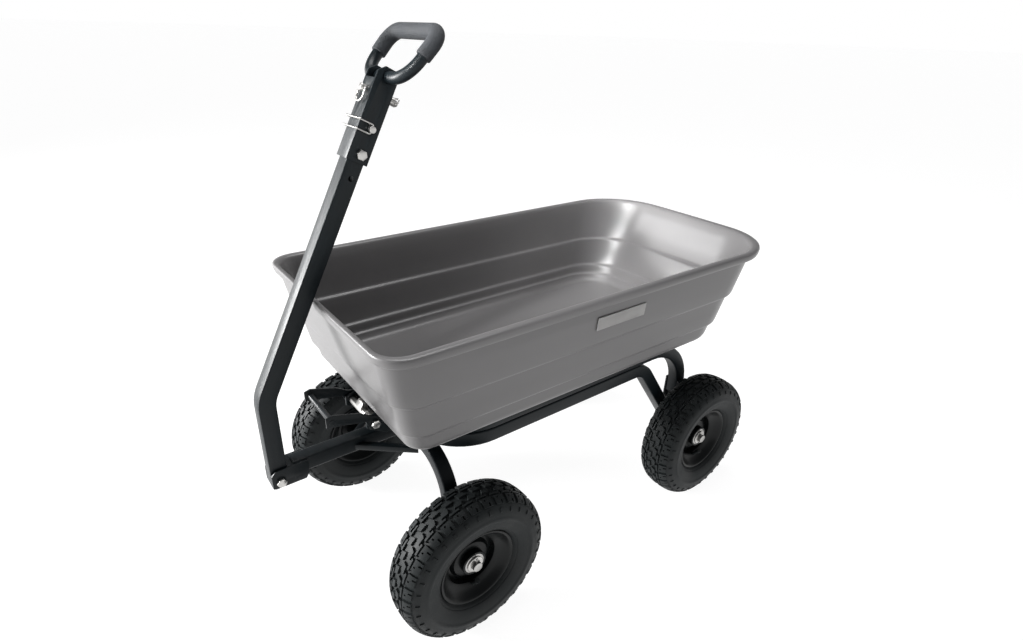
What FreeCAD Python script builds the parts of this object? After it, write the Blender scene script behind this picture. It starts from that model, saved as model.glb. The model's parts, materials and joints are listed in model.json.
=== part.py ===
import FreeCAD, Part
import math
import os
import Sketcher
from FreeCAD import Placement, Rotation, Vector

# Garden dump cart: moulded tub on a bent-tube frame, four pneumatic wheels, a steered front axle and
# a pull handle. Millimetres, +Z up. The origin is on the ground under the middle of the cart, the
# handle end is at -Y and +X is the side that carries the name plate.

SIZES = (
    ("tyre_radius", 130, "outer radius of the 4.10/3.50-4 tyre"),
    ("tyre_half_width", 40, "half of the tyre's section width"),
    ("wheel_plane", 210, "centre plane of each wheel, from the middle of the cart"),
    ("flange_radius", 67, "outer radius of the rim's flanges"),
    ("flange_plane", 27, "outer face of the rim from the wheel's centre plane"),
    ("bead_seat", 53.5, "radius of the bead seat at the flange"),
    ("rim_well", 46, "radius of the rim's well"),
    ("sheet_steel", 2.5, "thickness of the rim"),
    ("hub_outer", 16, "outboard end of the hub from the wheel's centre plane"),
    ("hub_inner", 26, "inboard end of the hub from the wheel's centre plane"),
    ("hub_radius", 21, "outer radius of the hub"),
    ("bearing_radius", 17.5, "outer radius of the wheel bearing"),
    ("bearing_width", 11, "width of the wheel bearing"),
    ("axle_radius", 8, "radius of the axles"),
    ("axle_end", 236, "tip of each axle from the middle of the cart"),
    ("split_pin_radius", 1.6, "radius of the split pins"),
    ("running_gap", 0.05, "radial clearance of a turning fit"),
    ("side_gap", 0.4, "end clearance beside a turning part"),
    ("front_axle", 254, "front axle ahead of the origin"),
    ("rear_axle", 309, "rear axle behind the origin"),
    ("kingpin", 258.5, "steering axis ahead of the origin"),
    ("kingpin_radius", 6, "radius of the kingpin"),
    ("kingpin_flats", 18, "hexagon of the kingpin across flats"),
    ("tube_side", 25, "outer side of the square frame tube"),
    ("tube_wall", 2, "wall of the frame tube"),
    ("rail_outer", 160, "outer face of the side rails"),
    ("rail_bottom", 289, "underside of the chassis rails"),
    ("hoop_front", 258.5, "centreline of both front hoops, ahead of the origin"),
    ("hoop_bend", 87.5, "centreline bend of both front hoops"),
    ("leg_slope", 54, "fall of the chassis legs to the rear axle, degrees"),
    ("leg_bend", 45, "centreline bend of the chassis legs"),
    ("chassis_tie", 140, "chassis cross tube behind the origin"),
    ("tub_frame_bottom", 314.5, "underside of the tub frame"),
    ("tub_tie", 180, "tub frame's cross tube behind the origin"),
    ("arm_bend", 100, "centreline bend of the tub frame's rear arms"),
    ("arm_foot", 205, "lower end of the tub frame's rear arms"),
    ("hinge_plate", 3.5, "thickness of the tub's hinge plates"),
    ("hinge_top", 236, "upper end of the hinge plates"),
    ("tub_wall", 4, "wall of the moulded tub"),
    ("tub_floor", 339.5, "underside of the tub"),
    ("tub_rim", 523, "top of the tub's rim"),
    ("ledge", 6, "width of the two moulded ledges"),
    ("lower_ledge", 373.5, "height of the lower ledge"),
    ("upper_ledge", 432, "height of the upper ledge"),
    ("rim_half_width", 214.6, "half width of the tub at the rim"),
    ("rim_taper", 2.2, "narrowing of the rim at the front, widening at the rear"),
    ("rim_front", 374, "front of the tub at the rim, ahead of the origin"),
    ("rim_rear", 462, "rear of the tub at the rim's corners, behind the origin"),
    ("rim_bow", 6, "bow of the tub's rear edge"),
    ("rim_lip", 12, "overhang of the rolled rim"),
    ("front_lip", 6, "overhang of the rolled rim at the front"),
    ("rim_drop", 14, "depth of the rolled rim"),
    ("side_slope", 0.099, "slope of the side walls"),
    ("front_slope", 0.202, "slope of the front wall"),
    ("rear_slope", 0.427, "slope of the rear wall"),
    ("front_corner", 38, "corner radius at the front of the tub"),
    ("rear_corner", 122, "corner radius at the rear of the rim"),
    ("corner_fall", 0.17, "loss of rear corner radius per unit of depth"),
    ("name_plate_length", 110, "length of the blank name plate"),
    ("name_plate_height", 23, "height of the blank name plate"),
    ("name_plate_middle", 38.5, "middle of the name plate, behind the origin"),
    ("name_plate_level", 474.5, "height of the name plate's middle"),
    ("tub_bolt_front", 120, "front bolts of the tub, ahead of the origin"),
    ("tub_bolt_rear", 150, "rear bolts of the tub, behind the origin"),
    ("bolt_radius", 4, "radius of the M8 bolts"),
    ("bolt_flats", 13, "hexagon of the M8 bolts across flats"),
    ("bolt_head", 5.3, "height of the M8 bolts' heads"),
    ("arch_outer", 167, "outer face of the front axle's legs"),
    ("arch_top", 285, "top of the front axle's arch"),
    ("arch_depth", 20, "depth of the arch tube, in the plane of the arch"),
    ("arch_width", 24, "width of the arch tube, front to back"),
    ("arch_bend", 75, "centreline bend of the arch"),
    ("arch_foot", 115, "lower end of the arch's legs"),
    ("tongue_bottom", 250.5, "underside of the tongue"),
    ("tongue_tip", 445, "front end of the tongue tube, ahead of the origin"),
    ("clevis_inner", 13, "inner face of each clevis plate from the middle"),
    ("clevis_plate", 4, "thickness of the clevis plates"),
    ("handle_pivot", 467.5, "handle pivot ahead of the origin"),
    ("handle_pivot_level", 252, "height of the handle pivot"),
    ("handle_foot", 241.5, "lower end of the handle tube"),
    ("handle_bend_level", 392, "height of the bend in the handle"),
    ("handle_bend", 60, "centreline bend of the handle"),
    ("handle_lean", 26.8, "lean of the upper handle from the vertical, degrees"),
    ("handle_length", 468, "upper handle from the bend to the tube's end"),
    ("head_start", 362, "lower end of the head, from the bend"),
    ("head_front_end", 472, "upper end of the head's front wall, from the bend"),
    ("head_rear_start", 420, "lower end of the head's rear wall, from the bend"),
    ("head_rear_end", 470, "upper end of the head's rear wall, from the bend"),
    ("head_end", 491, "upper end of the head's cheeks, from the bend"),
    ("head_inner", 12.8, "inner face of the head from its middle"),
    ("head_outer", 15.8, "outer face of the head from its middle"),
    ("head_bolt", 373.4, "head bolt, from the bend"),
    ("spare_hole", 339, "spare hole in the handle tube, from the bend"),
    ("lock_pin", 409.4, "lock pin, from the bend"),
    ("hitch_pin", 455, "hitch pin, from the bend"),
    ("hitch_pin_radius", 5, "radius of the hitch pin"),
    ("pin_back", 2.2, "lock pin and head bolt behind the handle's centreline"),
    ("grip_bar", 480, "lower bar of the grip, from the bend"),
    ("grip_back", 1.5, "lower bar of the grip behind the handle's centreline"),
    ("grip_lean", 43.1, "lean of the grip loop from the vertical, degrees"),
    ("grip_height", 76, "height of the grip loop in its own plane"),
    ("grip_foot", 60, "lower corners of the grip loop from the middle"),
    ("grip_shoulder", 66, "upper corners of the grip loop from the middle"),
    ("grip_foot_bend", 34, "centreline bend at the grip's lower corners"),
    ("grip_top_bend", 20, "centreline bend at the grip's upper corners"),
    ("grip_tube", 8, "radius of the grip's steel tube"),
    ("foam_radius", 10.4, "outer radius of the foam sleeve"),
    ("latch_pivot", 322, "latch pivot ahead of the origin"),
    ("latch_level", 318, "height of the latch pivot"),
    ("latch_bar_reach", 67, "latch bar ahead of the latch pivot"),
    ("latch_bar_rise", 28, "latch bar above the latch pivot"),
    ("latch_bar", 4.8, "radius of the latch bar"),
    ("latch_arm", 42.2, "inner face of each latch arm from the middle"),
    ("latch_bracket", 37.5, "inner face of each latch bracket from the middle"),
    ("latch_plate", 4, "thickness of the latch arms and brackets"),
    ("latch_sleeve", 7, "radius of the sleeve that carries the hook"),
    ("striker_face", 314, "front face of the striker, ahead of the origin"),
)
ALIASES = set(row[0] for row in SIZES)

doc = FreeCAD.newDocument("garden_cart")
sheet = doc.addObject("Spreadsheet::Sheet", "sizes")
for row, (alias, value, meaning) in enumerate(SIZES, start=1):
    sheet.set("A%d" % row, meaning)
    sheet.set("B%d" % row, str(value))
    sheet.setAlias("B%d" % row, alias)
doc.recompute()


def size(alias):
    """Value of a driving dimension."""
    return float(sheet.get(alias))


X_AXIS = Vector(1, 0, 0)
Y_AXIS = Vector(0, 1, 0)
Z_AXIS = Vector(0, 0, 1)
AXLE_Z = size("tyre_radius")
FRONT_Y = -size("front_axle")
REAR_Y = size("rear_axle")
TUBE = size("tube_side")
RAIL_X = size("rail_outer") - TUBE / 2
RAIL_Z = size("rail_bottom") + TUBE / 2
TUB_FRAME_Z = size("tub_frame_bottom") + TUBE / 2
LATHE = Rotation(Y_AXIS, -90)
HANDLE_TURN = Rotation(X_AXIS, -size("handle_lean"))
HANDLE_BEND = Vector(0, -size("handle_pivot"), size("handle_bend_level"))
BY_HANDLE_BEND = ("0", "0 - handle_pivot", "handle_bend_level")
BY_LATCH = ("0", "0 - latch_pivot", "latch_level")
PIN_X = size("wheel_plane") + size("hub_outer") + 5
NODES = []


# ---- helpers ------------------------------------------------------------------------------------

def cells(text):
    """Expression text in which every driving dimension is read from the sheet."""
    words = text.replace("(", " ( ").replace(")", " ) ").split()
    return " ".join("sizes." + word if word in ALIASES else word for word in words)


def keep(thing):
    """List an object as a node of the cart."""
    NODES.append(thing)
    return thing


def new_body(label, at=None, turn=None):
    """Empty body whose place is bound to the sheet."""
    body = doc.addObject("PartDesign::Body", label)
    body.Label = label
    if turn:
        body.Placement = Placement(Vector(0, 0, 0), turn)
    for name, text in zip("xyz", at or ()):
        body.setExpression("Placement.Base." + name, cells(text))
    return body


def new_sketch(body, role, offset="0"):
    """Sketch on one of the body's origin planes, or parallel to it."""
    sketch = body.newObject("Sketcher::SketchObject", body.Label + "_sketch")
    plane = [item for item in body.Origin.OriginFeatures if item.Role == role][0]
    sketch.AttachmentSupport = [(plane, "")]
    sketch.MapMode = "FlatFace"
    sketch.setExpression("AttachmentOffset.Base.z", cells(offset))
    return sketch


def bind(sketch, kind, point, text):
    """Distance from the sketch's origin to a point, bound to the sheet."""
    row = sketch.addConstraint(Sketcher.Constraint(kind, -1, 1, point[0], point[1], 1.0))
    sketch.setExpression("Constraints[%d]" % row, cells(text))


def outline(sketch, corners):
    """Closed polygon whose corners are bound to the sheet."""
    count = len(corners)
    first = sketch.GeometryCount
    angles = [2 * math.pi * i / count for i in range(count)]
    seeds = [Vector(5 + math.cos(a), 5 + math.sin(a), 0) for a in angles]
    for i in range(count):
        sketch.addGeometry(Part.LineSegment(seeds[i], seeds[(i + 1) % count]), False)
    for i in range(count):
        following = first + (i + 1) % count
        sketch.addConstraint(Sketcher.Constraint("Coincident", first + i, 2, following, 1))
    for i, (across, up) in enumerate(corners):
        bind(sketch, "DistanceX", (first + i, 1), across)
        bind(sketch, "DistanceY", (first + i, 1), up)


def circle(sketch, across, up, radius):
    """Circle whose centre and radius are bound to the sheet."""
    index = sketch.addGeometry(Part.Circle(Vector(1, 1, 0), Z_AXIS, 1), False)
    bind(sketch, "DistanceX", (index, 3), across)
    bind(sketch, "DistanceY", (index, 3), up)
    row = sketch.addConstraint(Sketcher.Constraint("Radius", index, 1.0))
    sketch.setExpression("Constraints[%d]" % row, cells(radius))


def revolve(body, corners):
    """Turn a profile drawn as (along X, radius) round the body's X axis."""
    sketch = new_sketch(body, "XY_Plane")
    outline(sketch, corners)
    turned = body.newObject("PartDesign::Revolution", body.Label + "_turned")
    turned.Profile = sketch
    turned.ReferenceAxis = (sketch, ["H_Axis"])
    turned.Angle = 360


def pad(body, role, corners, length, holes=(), inner=None, offset="0", both_ways=False):
    """Pad an outline, with an inner outline or round holes, from one of the origin planes."""
    sketch = new_sketch(body, role, offset)
    outline(sketch, corners)
    if inner:
        outline(sketch, inner)
    for hole in holes:
        circle(sketch, *hole)
    padded = body.newObject("PartDesign::Pad", body.Label + "_pad")
    padded.Profile = sketch
    padded.setExpression("Length", cells(length))
    padded.Midplane = both_ways


def pad_round(body, role, across, up, radius, length):
    """Pad a circle both ways from one of the origin planes."""
    sketch = new_sketch(body, role)
    circle(sketch, across, up, radius)
    padded = body.newObject("PartDesign::Pad", body.Label + "_bar")
    padded.Profile = sketch
    padded.setExpression("Length", cells(length))
    padded.Midplane = True


def bore(body, role, holes):
    """Drill round holes right through a body."""
    doc.recompute()
    before = body.Shape.Volume
    sketch = new_sketch(body, role)
    for hole in holes:
        circle(sketch, *hole)
    pocket = body.newObject("PartDesign::Pocket", body.Label + "_holes")
    pocket.Profile = sketch
    pocket.Type = "ThroughAll"
    pocket.Midplane = True
    doc.recompute()
    if body.Shape.Volume >= before:
        raise ValueError("no hole was cut in " + body.Label)


def rectangle(left, right, low, high):
    """Corners of a rectangle."""
    return ((left, low), (right, low), (right, high), (left, high))


def hexagon(flats):
    """Corners of a hexagon across the given flats."""
    corner = size(flats) / math.sqrt(3)
    turns = [math.pi * i / 3 for i in range(6)]
    return [("%.4f" % (corner * math.cos(a)), "%.4f" % (corner * math.sin(a))) for a in turns]


def ring(label, start, end, inner, outer):
    """Turned ring along X."""
    body = new_body(label)
    revolve(body, rectangle(start, end, inner, outer))
    return body


def hexagon_bolt(label, shank, radius="bolt_radius", flats="bolt_flats", head="bolt_head"):
    """Hexagon bolt along X: the head stands on X = 0 and the shank runs to -X."""
    body = new_body(label)
    pad(body, "YZ_Plane", hexagon(flats), head)
    revolve(body, rectangle("0 - " + shank, "1", "0", radius))
    return body


def hexagon_nut(label, radius="bolt_radius", flats="bolt_flats", height="bolt_head + 1"):
    """Hexagon nut along X, standing on X = 0."""
    body = new_body(label)
    pad(body, "YZ_Plane", hexagon(flats), height, holes=(("0", "0", radius),))
    return body


def square_tube(label, role, middle, start, length):
    """Straight square tube along the normal of one of the origin planes."""
    body = new_body(label)
    across, up = middle
    half = "tube_side / 2"
    hollow = "tube_side / 2 + tube_wall"
    pad(body, role,
        rectangle(across + " - " + half, across + " + " + half, up + " - " + half, up + " + " + half),
        length,
        inner=rectangle(across + " - " + hollow, across + " + " + half + " - tube_wall",
                        up + " - " + hollow, up + " + " + half + " - tube_wall"),
        offset=start)
    return body


def feature(label, shape):
    """A piece whose shape comes from Part's own functions."""
    thing = doc.addObject("Part::Feature", label)
    thing.Label = label
    thing.Shape = shape
    return thing


def group(label, pieces):
    """One node with a separate solid for each (pattern, place)."""
    doc.recompute()
    shapes = []
    for pattern, place in pieces:
        shape = pattern.Shape.copy()
        shape.Placement = place.multiply(shape.Placement)
        shapes.append(shape)
    return keep(feature(label, Part.makeCompound(shapes)))


def at(x, y, z, turn=None):
    """Placement at a point."""
    return Placement(Vector(x, y, z), turn or Rotation())


def both_sides(x, y, z):
    """The same place on both sides of the cart, the second one turned round."""
    return at(x, y, z), at(-x, y, z, Rotation(Z_AXIS, 180))


def bent_path(points, radii, closed=False):
    """Straight runs joined by tangent arcs, one radius for each corner in turn."""
    count = len(points)
    corners = list(range(count)) if closed else list(range(1, count - 1))
    cuts = {}
    for turn, i in enumerate(corners):
        before = (points[i - 1] - points[i]).normalize()
        after = (points[(i + 1) % count] - points[i]).normalize()
        half = before.getAngle(after) / 2
        radius = radii[turn % len(radii)]
        reach = radius / math.tan(half)
        inward = (before + after).normalize()
        middle = points[i] + inward * (radius / math.sin(half) - radius)
        cuts[i] = (points[i] + before * reach, middle, points[i] + after * reach)
    edges = []
    last = cuts[count - 1][2] if closed else points[0]
    for i in range(0 if closed else 1, count):
        start, middle, end = cuts.get(i, (points[i], None, points[i]))
        if last.distanceToPoint(start) > 0.01:
            edges.append(Part.makeLine(last, start))
        if middle:
            edges.append(Part.Arc(start, middle, end).toShape())
        last = end
    return Part.Wire(edges)


def swept(path, profile):
    """Solid swept along a path."""
    pipe = Part.BRepOffsetAPI.MakePipeShell(path)
    pipe.setTransitionMode(1)
    pipe.add(profile)
    pipe.build()
    pipe.makeSolid()
    return pipe.shape()


def box_section(centre, across, up, width, height):
    """Rectangular wire about a centre."""
    a = across * (width / 2)
    b = up * (height / 2)
    return Part.makePolygon([centre - a - b, centre + a - b, centre + a + b, centre - a + b, centre - a - b])


def bent_tube(points, radii, across, up, width, height):
    """Bent rectangular tube; across and up span its section at the first point."""
    path = bent_path(points, radii)
    wall = 2 * size("tube_wall")
    outer = swept(path, box_section(points[0], across, up, width, height))
    return outer.cut(swept(path, box_section(points[0], across, up, width - wall, height - wall)))


def bent_wire(points, radii, radius, closed=False):
    """Bent round bar."""
    path = bent_path(points, radii, closed)
    start = path.Edges[0].valueAt(path.Edges[0].FirstParameter)
    along = path.Edges[0].tangentAt(path.Edges[0].FirstParameter)
    return swept(path, Part.Wire(Part.Circle(start, along, radius).toShape()))


def drilled(shape, centre, along, radius, reach):
    """Shape with a round hole that runs both ways from its centre."""
    return shape.cut(Part.makeCylinder(radius, 2 * reach, centre - along * reach, along))


def on_handle(x, back, up):
    """Point in the upper handle's own frame: across, behind and along from its bend."""
    return HANDLE_BEND + HANDLE_TURN.multVec(Vector(x, back, up))


# ---- wheels -------------------------------------------------------------------------------------

def tyre_section(half_profile, crown):
    """Closed tyre section from its bead, sidewall and shoulder points; the crown is an arc."""
    right = [Vector(x, r, 0) for x, r in half_profile]
    left = [Vector(-x, r, 0) for x, r in half_profile]
    edges = [
        Part.makeLine(left[0], right[0]),
        Part.makeLine(right[0], right[1]),
        Part.Arc(right[1], right[2], right[3]).toShape(),
        Part.Arc(right[3], right[4], right[5]).toShape(),
        Part.Arc(right[5], Vector(0, crown, 0), left[5]).toShape(),
        Part.Arc(left[5], left[4], left[3]).toShape(),
        Part.Arc(left[3], left[2], left[1]).toShape(),
        Part.makeLine(left[1], left[0]),
    ]
    return Part.Face(Part.Wire(edges))


def tyre():
    """Tyre carcass, open towards the rim."""
    crown = size("tyre_radius")
    side = size("tyre_half_width")
    bead = size("flange_plane") - size("sheet_steel") - 0.2
    seat = size("bead_seat") + 0.3
    lip = size("flange_radius") + 1
    outer = tyre_section(((bead, seat), (bead, lip), (side - 3, lip + 12), (side, crown - 34),
                          (side - 2, crown - 17), (side - 7, crown - 5)), crown)
    inner = tyre_section(((bead - 6, seat - 5), (bead - 6, lip + 3), (side - 9.5, lip + 14),
                          (side - 6, crown - 34), (side - 8, crown - 20), (side - 12, crown - 12)),
                         crown - 8)
    return feature("tyre_pattern", outer.cut(inner).revolve(Vector(0, 0, 0), X_AXIS, 360))


def rim():
    """Pressed steel rim with its disc and hub tube."""
    body = new_body("rim_pattern")
    revolve(body, (
        ("0 - flange_plane", "flange_radius"),
        ("sheet_steel - flange_plane", "flange_radius"),
        ("sheet_steel - flange_plane", "bead_seat"),
        ("-12", "bead_seat - 1.5"), ("-8", "rim_well"), ("8", "rim_well"), ("12", "bead_seat - 1.5"),
        ("flange_plane - sheet_steel", "bead_seat"),
        ("flange_plane - sheet_steel", "flange_radius"),
        ("flange_plane", "flange_radius"),
        ("flange_plane", "bead_seat - sheet_steel"),
        ("13", "bead_seat - 4"), ("9.5", "rim_well - sheet_steel"),
        ("-9.5", "rim_well - sheet_steel"), ("-13", "bead_seat - 4"),
        ("0 - flange_plane", "bead_seat - sheet_steel")))
    revolve(body, (
        ("-6", "rim_well - 2"), ("-3", "rim_well - 2"), ("-1", "32"), ("3.5", "28"),
        ("3.5", "hub_radius - 1"), ("1", "hub_radius - 1"), ("1", "27"), ("-3.5", "31")))
    revolve(body, rectangle("0 - hub_inner", "hub_outer", "bearing_radius", "hub_radius"))
    doc.recompute()
    return body


def wheels():
    """Four wheels, each of a tyre, a rim, two bearings and a valve."""
    valve_foot = Vector(11.25, 0, -46.5)
    valve_lean = Vector(0.62, 0, 0.785).normalize()
    valve = new_body("valve_pattern", turn=Rotation(X_AXIS, valve_lean))
    revolve(valve, (("0", "0"), ("0", "3.6"), ("13", "3.6"), ("13", "4.4"), ("21", "4.4"), ("21", "0")))
    valve.Placement.Base = valve_foot
    bearing = ring("bearing_pattern", "hub_outer - bearing_width", "hub_outer",
                   "axle_radius + running_gap", "bearing_radius")
    inboard = at(size("bearing_width") - size("hub_outer") - size("hub_inner"), 0, 0)
    drilled_rim = feature("drilled_rim_pattern",
                          drilled(rim().Shape, valve_foot, valve_lean, 3.6, 6))
    pieces = (
        ("tyre", ((tyre(), at(0, 0, 0)),)),
        ("rim", ((drilled_rim, at(0, 0, 0)),)),
        ("bearings", ((bearing, at(0, 0, 0)), (bearing, inboard))),
        ("valve", ((valve, at(0, 0, 0)),)),
    )
    for end, y in (("front", FRONT_Y), ("rear", REAR_Y)):
        places = both_sides(size("wheel_plane"), y, AXLE_Z)
        for side, place in zip(("left", "right"), places):
            for name, parts in pieces:
                group("_".join((name, end, side)), [(part, place.multiply(own)) for part, own in parts])


def axle_hardware():
    """Washers and split pins that keep the wheels on the axles."""
    washer = ring("axle_washer_pattern", "0", "2.4", "axle_radius + running_gap", "14")
    pin = feature("split_pin_pattern", Part.makeCylinder(size("split_pin_radius"), 22, Vector(0, 0, -11)).fuse(
        Part.makeTorus(3.2, 1.2, Vector(0, 0, 14.5), X_AXIS)))
    face = size("wheel_plane") + size("hub_outer") + size("side_gap")
    for end, y in (("front", FRONT_Y), ("rear", REAR_Y)):
        group(end + "_axle_washers", [(washer, place) for place in both_sides(face, y, AXLE_Z)])
        group(end + "_split_pins", [(pin, place) for place in both_sides(PIN_X, y, AXLE_Z)])


def spacers(label, start, y):
    """Sleeves beside the inner ends of the hubs."""
    length = size("wheel_plane") - size("hub_inner") - size("side_gap") - start
    sleeve = ring(label + "_pattern", "0", "%.3f" % length, "axle_radius + running_gap", "12")
    group(label, [(sleeve, place) for place in both_sides(start, y, AXLE_Z)])


# ---- chassis ------------------------------------------------------------------------------------

def hoop(level):
    """Side rails joined by a hoop at the front, from the middle of the cart forwards."""
    front = -size("hoop_front")
    return bent_tube([Vector(RAIL_X, 0, level), Vector(RAIL_X, front, level),
                      Vector(-RAIL_X, front, level), Vector(-RAIL_X, 0, level)],
                     [size("hoop_bend")], X_AXIS, Z_AXIS, TUBE, TUBE)


def chassis_frame():
    """One bent tube: front hoop, side rails and the legs down to the rear axle."""
    frame = hoop(RAIL_Z)
    knee = REAR_Y - (RAIL_Z - AXLE_Z) / math.tan(math.radians(size("leg_slope")))
    for x in (RAIL_X, -RAIL_X):
        leg = bent_tube([Vector(x, 0, RAIL_Z), Vector(x, knee, RAIL_Z), Vector(x, REAR_Y, AXLE_Z)],
                        [size("leg_bend")], X_AXIS, Z_AXIS, TUBE, TUBE)
        boss = Part.makeCylinder(TUBE / 2 + 2.5, TUBE, Vector(x - TUBE / 2, REAR_Y, AXLE_Z), X_AXIS)
        frame = frame.fuse([leg, boss])
    frame = drilled(frame.removeSplitter(), Vector(0, REAR_Y, AXLE_Z), X_AXIS, size("axle_radius"), 200)
    pin_hole = Vector(0, -size("kingpin"), size("rail_bottom"))
    keep(feature("chassis_frame", drilled(frame, pin_hole, Z_AXIS, size("kingpin_radius"), 8)))


def rear_stub_axles():
    """Two headed pins, each through a leg's boss and the hinge plates beside it."""
    start = size("rail_outer") - size("tube_side") - 0.8 - size("hinge_plate")
    stub = new_body("rear_stub_pattern")
    revolve(stub, (("-5", "0"), ("-5", "11.2"), ("-4.2", "12"), ("0", "12"), ("0", "axle_radius"),
                   ("%.3f" % (size("axle_end") - start), "axle_radius"), ("%.3f" % (size("axle_end") - start), "0")))
    bore(stub, "XY_Plane", (("%.3f" % (PIN_X - start), "0", "split_pin_radius"),))
    group("rear_stub_axles", [(stub, place) for place in both_sides(start, REAR_Y, AXLE_Z)])


def kingpin():
    """Bolt that the front axle steers on: its head is inside the hoop, its nut below the arch."""
    sheet_top = size("rail_bottom") + size("tube_wall")
    arch_bottom = size("arch_top") - size("arch_depth")
    y = -size("kingpin")
    bolt = new_body("kingpin_pattern", turn=LATHE)
    pad(bolt, "YZ_Plane", hexagon("kingpin_flats"), "7.5")
    revolve(bolt, rectangle("-40", "1", "0", "kingpin_radius - running_gap"))
    group("kingpin", [(bolt, at(0, y, sheet_top))])
    nut = new_body("kingpin_nut_pattern", turn=LATHE)
    pad(nut, "YZ_Plane", hexagon("kingpin_flats"), "8", holes=(("0", "0", "kingpin_radius - running_gap"),))
    group("kingpin_nut", [(nut, at(0, y, arch_bottom - 11))])
    washer = ring("kingpin_washer_pattern", "0", "2.5", "kingpin_radius", "10")
    group("kingpin_washers", [(washer, at(0, y, arch_bottom - 2.8, LATHE)),
                              (washer, at(0, y, size("arch_top") + 0.8, LATHE))])


def cross_tubes():
    """Square tubes that tie the chassis rails and the tub frame's rails."""
    length = "2 * rail_outer - 2 * tube_side"
    start = "tube_side - rail_outer"
    keep(square_tube("chassis_cross_tube", "YZ_Plane",
                     ("chassis_tie", "rail_bottom + tube_side / 2"), start, length))
    keep(square_tube("tub_cross_tube", "YZ_Plane",
                     ("tub_tie", "tub_frame_bottom + tube_side / 2"), start, length))


# ---- front axle and tongue ----------------------------------------------------------------------

def front_axle():
    """Arched tube with a stub axle in each foot."""
    x = size("arch_outer") - size("arch_depth") / 2
    top = size("arch_top") - size("arch_depth") / 2
    foot = size("arch_foot")
    arch = bent_tube([Vector(-x, FRONT_Y, foot), Vector(-x, FRONT_Y, top), Vector(x, FRONT_Y, top),
                      Vector(x, FRONT_Y, foot)],
                     [size("arch_bend")], X_AXIS, Y_AXIS, size("arch_depth"), size("arch_width"))
    arch = drilled(arch, Vector(0, FRONT_Y, AXLE_Z), X_AXIS, size("axle_radius"), 200)
    arch = drilled(arch, Vector(0, -size("kingpin"), top), Z_AXIS, size("kingpin_radius"), 30)
    keep(feature("front_axle_arch", arch))

    start = size("arch_outer") - size("arch_depth")
    stub = new_body("stub_axle_pattern")
    revolve(stub, rectangle("0", "axle_end - arch_outer + arch_depth", "0", "axle_radius"))
    bore(stub, "XY_Plane", (("%.3f" % (PIN_X - start), "0", "split_pin_radius"),))
    group("stub_axles", [(stub, place) for place in both_sides(start, FRONT_Y, AXLE_Z)])


def tongue():
    """Tongue tube with two braces to the arch and a clevis for the handle."""
    root = "0 - front_axle - arch_width / 2"
    keep(square_tube("tongue_tube", "XZ_Plane", ("0", "tongue_bottom + tube_side / 2"),
                     "front_axle + arch_width / 2", "tongue_tip - front_axle - arch_width / 2"))

    brace = new_body("brace_pattern", ("0", "0", "tongue_bottom + 4.5"))
    pad(brace, "XY_Plane", (("tube_side / 2", "-346"), ("80", root), ("66", root), ("tube_side / 2", "-329")),
        "10")
    doc.recompute()
    mirrored = feature("brace_mirror_pattern", brace.Shape.mirror(Vector(0, 0, 0), X_AXIS))
    group("tongue_braces", [(brace, at(0, 0, 0)), (mirrored, at(0, 0, 0))])

    clevis = keep(new_body("tongue_clevis", ("0", "0 - handle_pivot", "handle_pivot_level")))
    pad(clevis, "YZ_Plane", rectangle("tube_side / 2 + 0.5", "handle_pivot - tongue_tip", "10", "21"),
        "2 * clevis_inner + 1", both_ways=True)
    side = (("-12.5", "-9"), ("-8", "-11"), ("38", "-11"), ("44", "-1.5"), ("44", "21"), ("-6", "21"),
            ("-12.5", "14"))
    for offset in ("clevis_inner", "0 - clevis_inner - clevis_plate"):
        pad(clevis, "YZ_Plane", side, "clevis_plate", holes=(("0", "0", "bolt_radius"),), offset=offset)

    outer = size("clevis_inner") + size("clevis_plate")
    through_bolt("handle_pivot_bolt", outer, 0, Vector(0, -size("handle_pivot"), size("handle_pivot_level")))


def through_bolt(label, half_span, back, centre, turn=None):
    """M8 bolt along X through two cheeks, with its nut on the -X side."""
    bolt = hexagon_bolt(label + "_pattern", "%.3f" % (2 * half_span + 9))
    nut = hexagon_nut(label + "_nut_pattern")
    place = Placement(centre, turn or Rotation())
    group(label, [(bolt, place.multiply(at(half_span + 0.2, back, 0))),
                  (nut, place.multiply(at(-half_span - 6.5, back, 0)))])


# ---- tub ----------------------------------------------------------------------------------------

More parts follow.
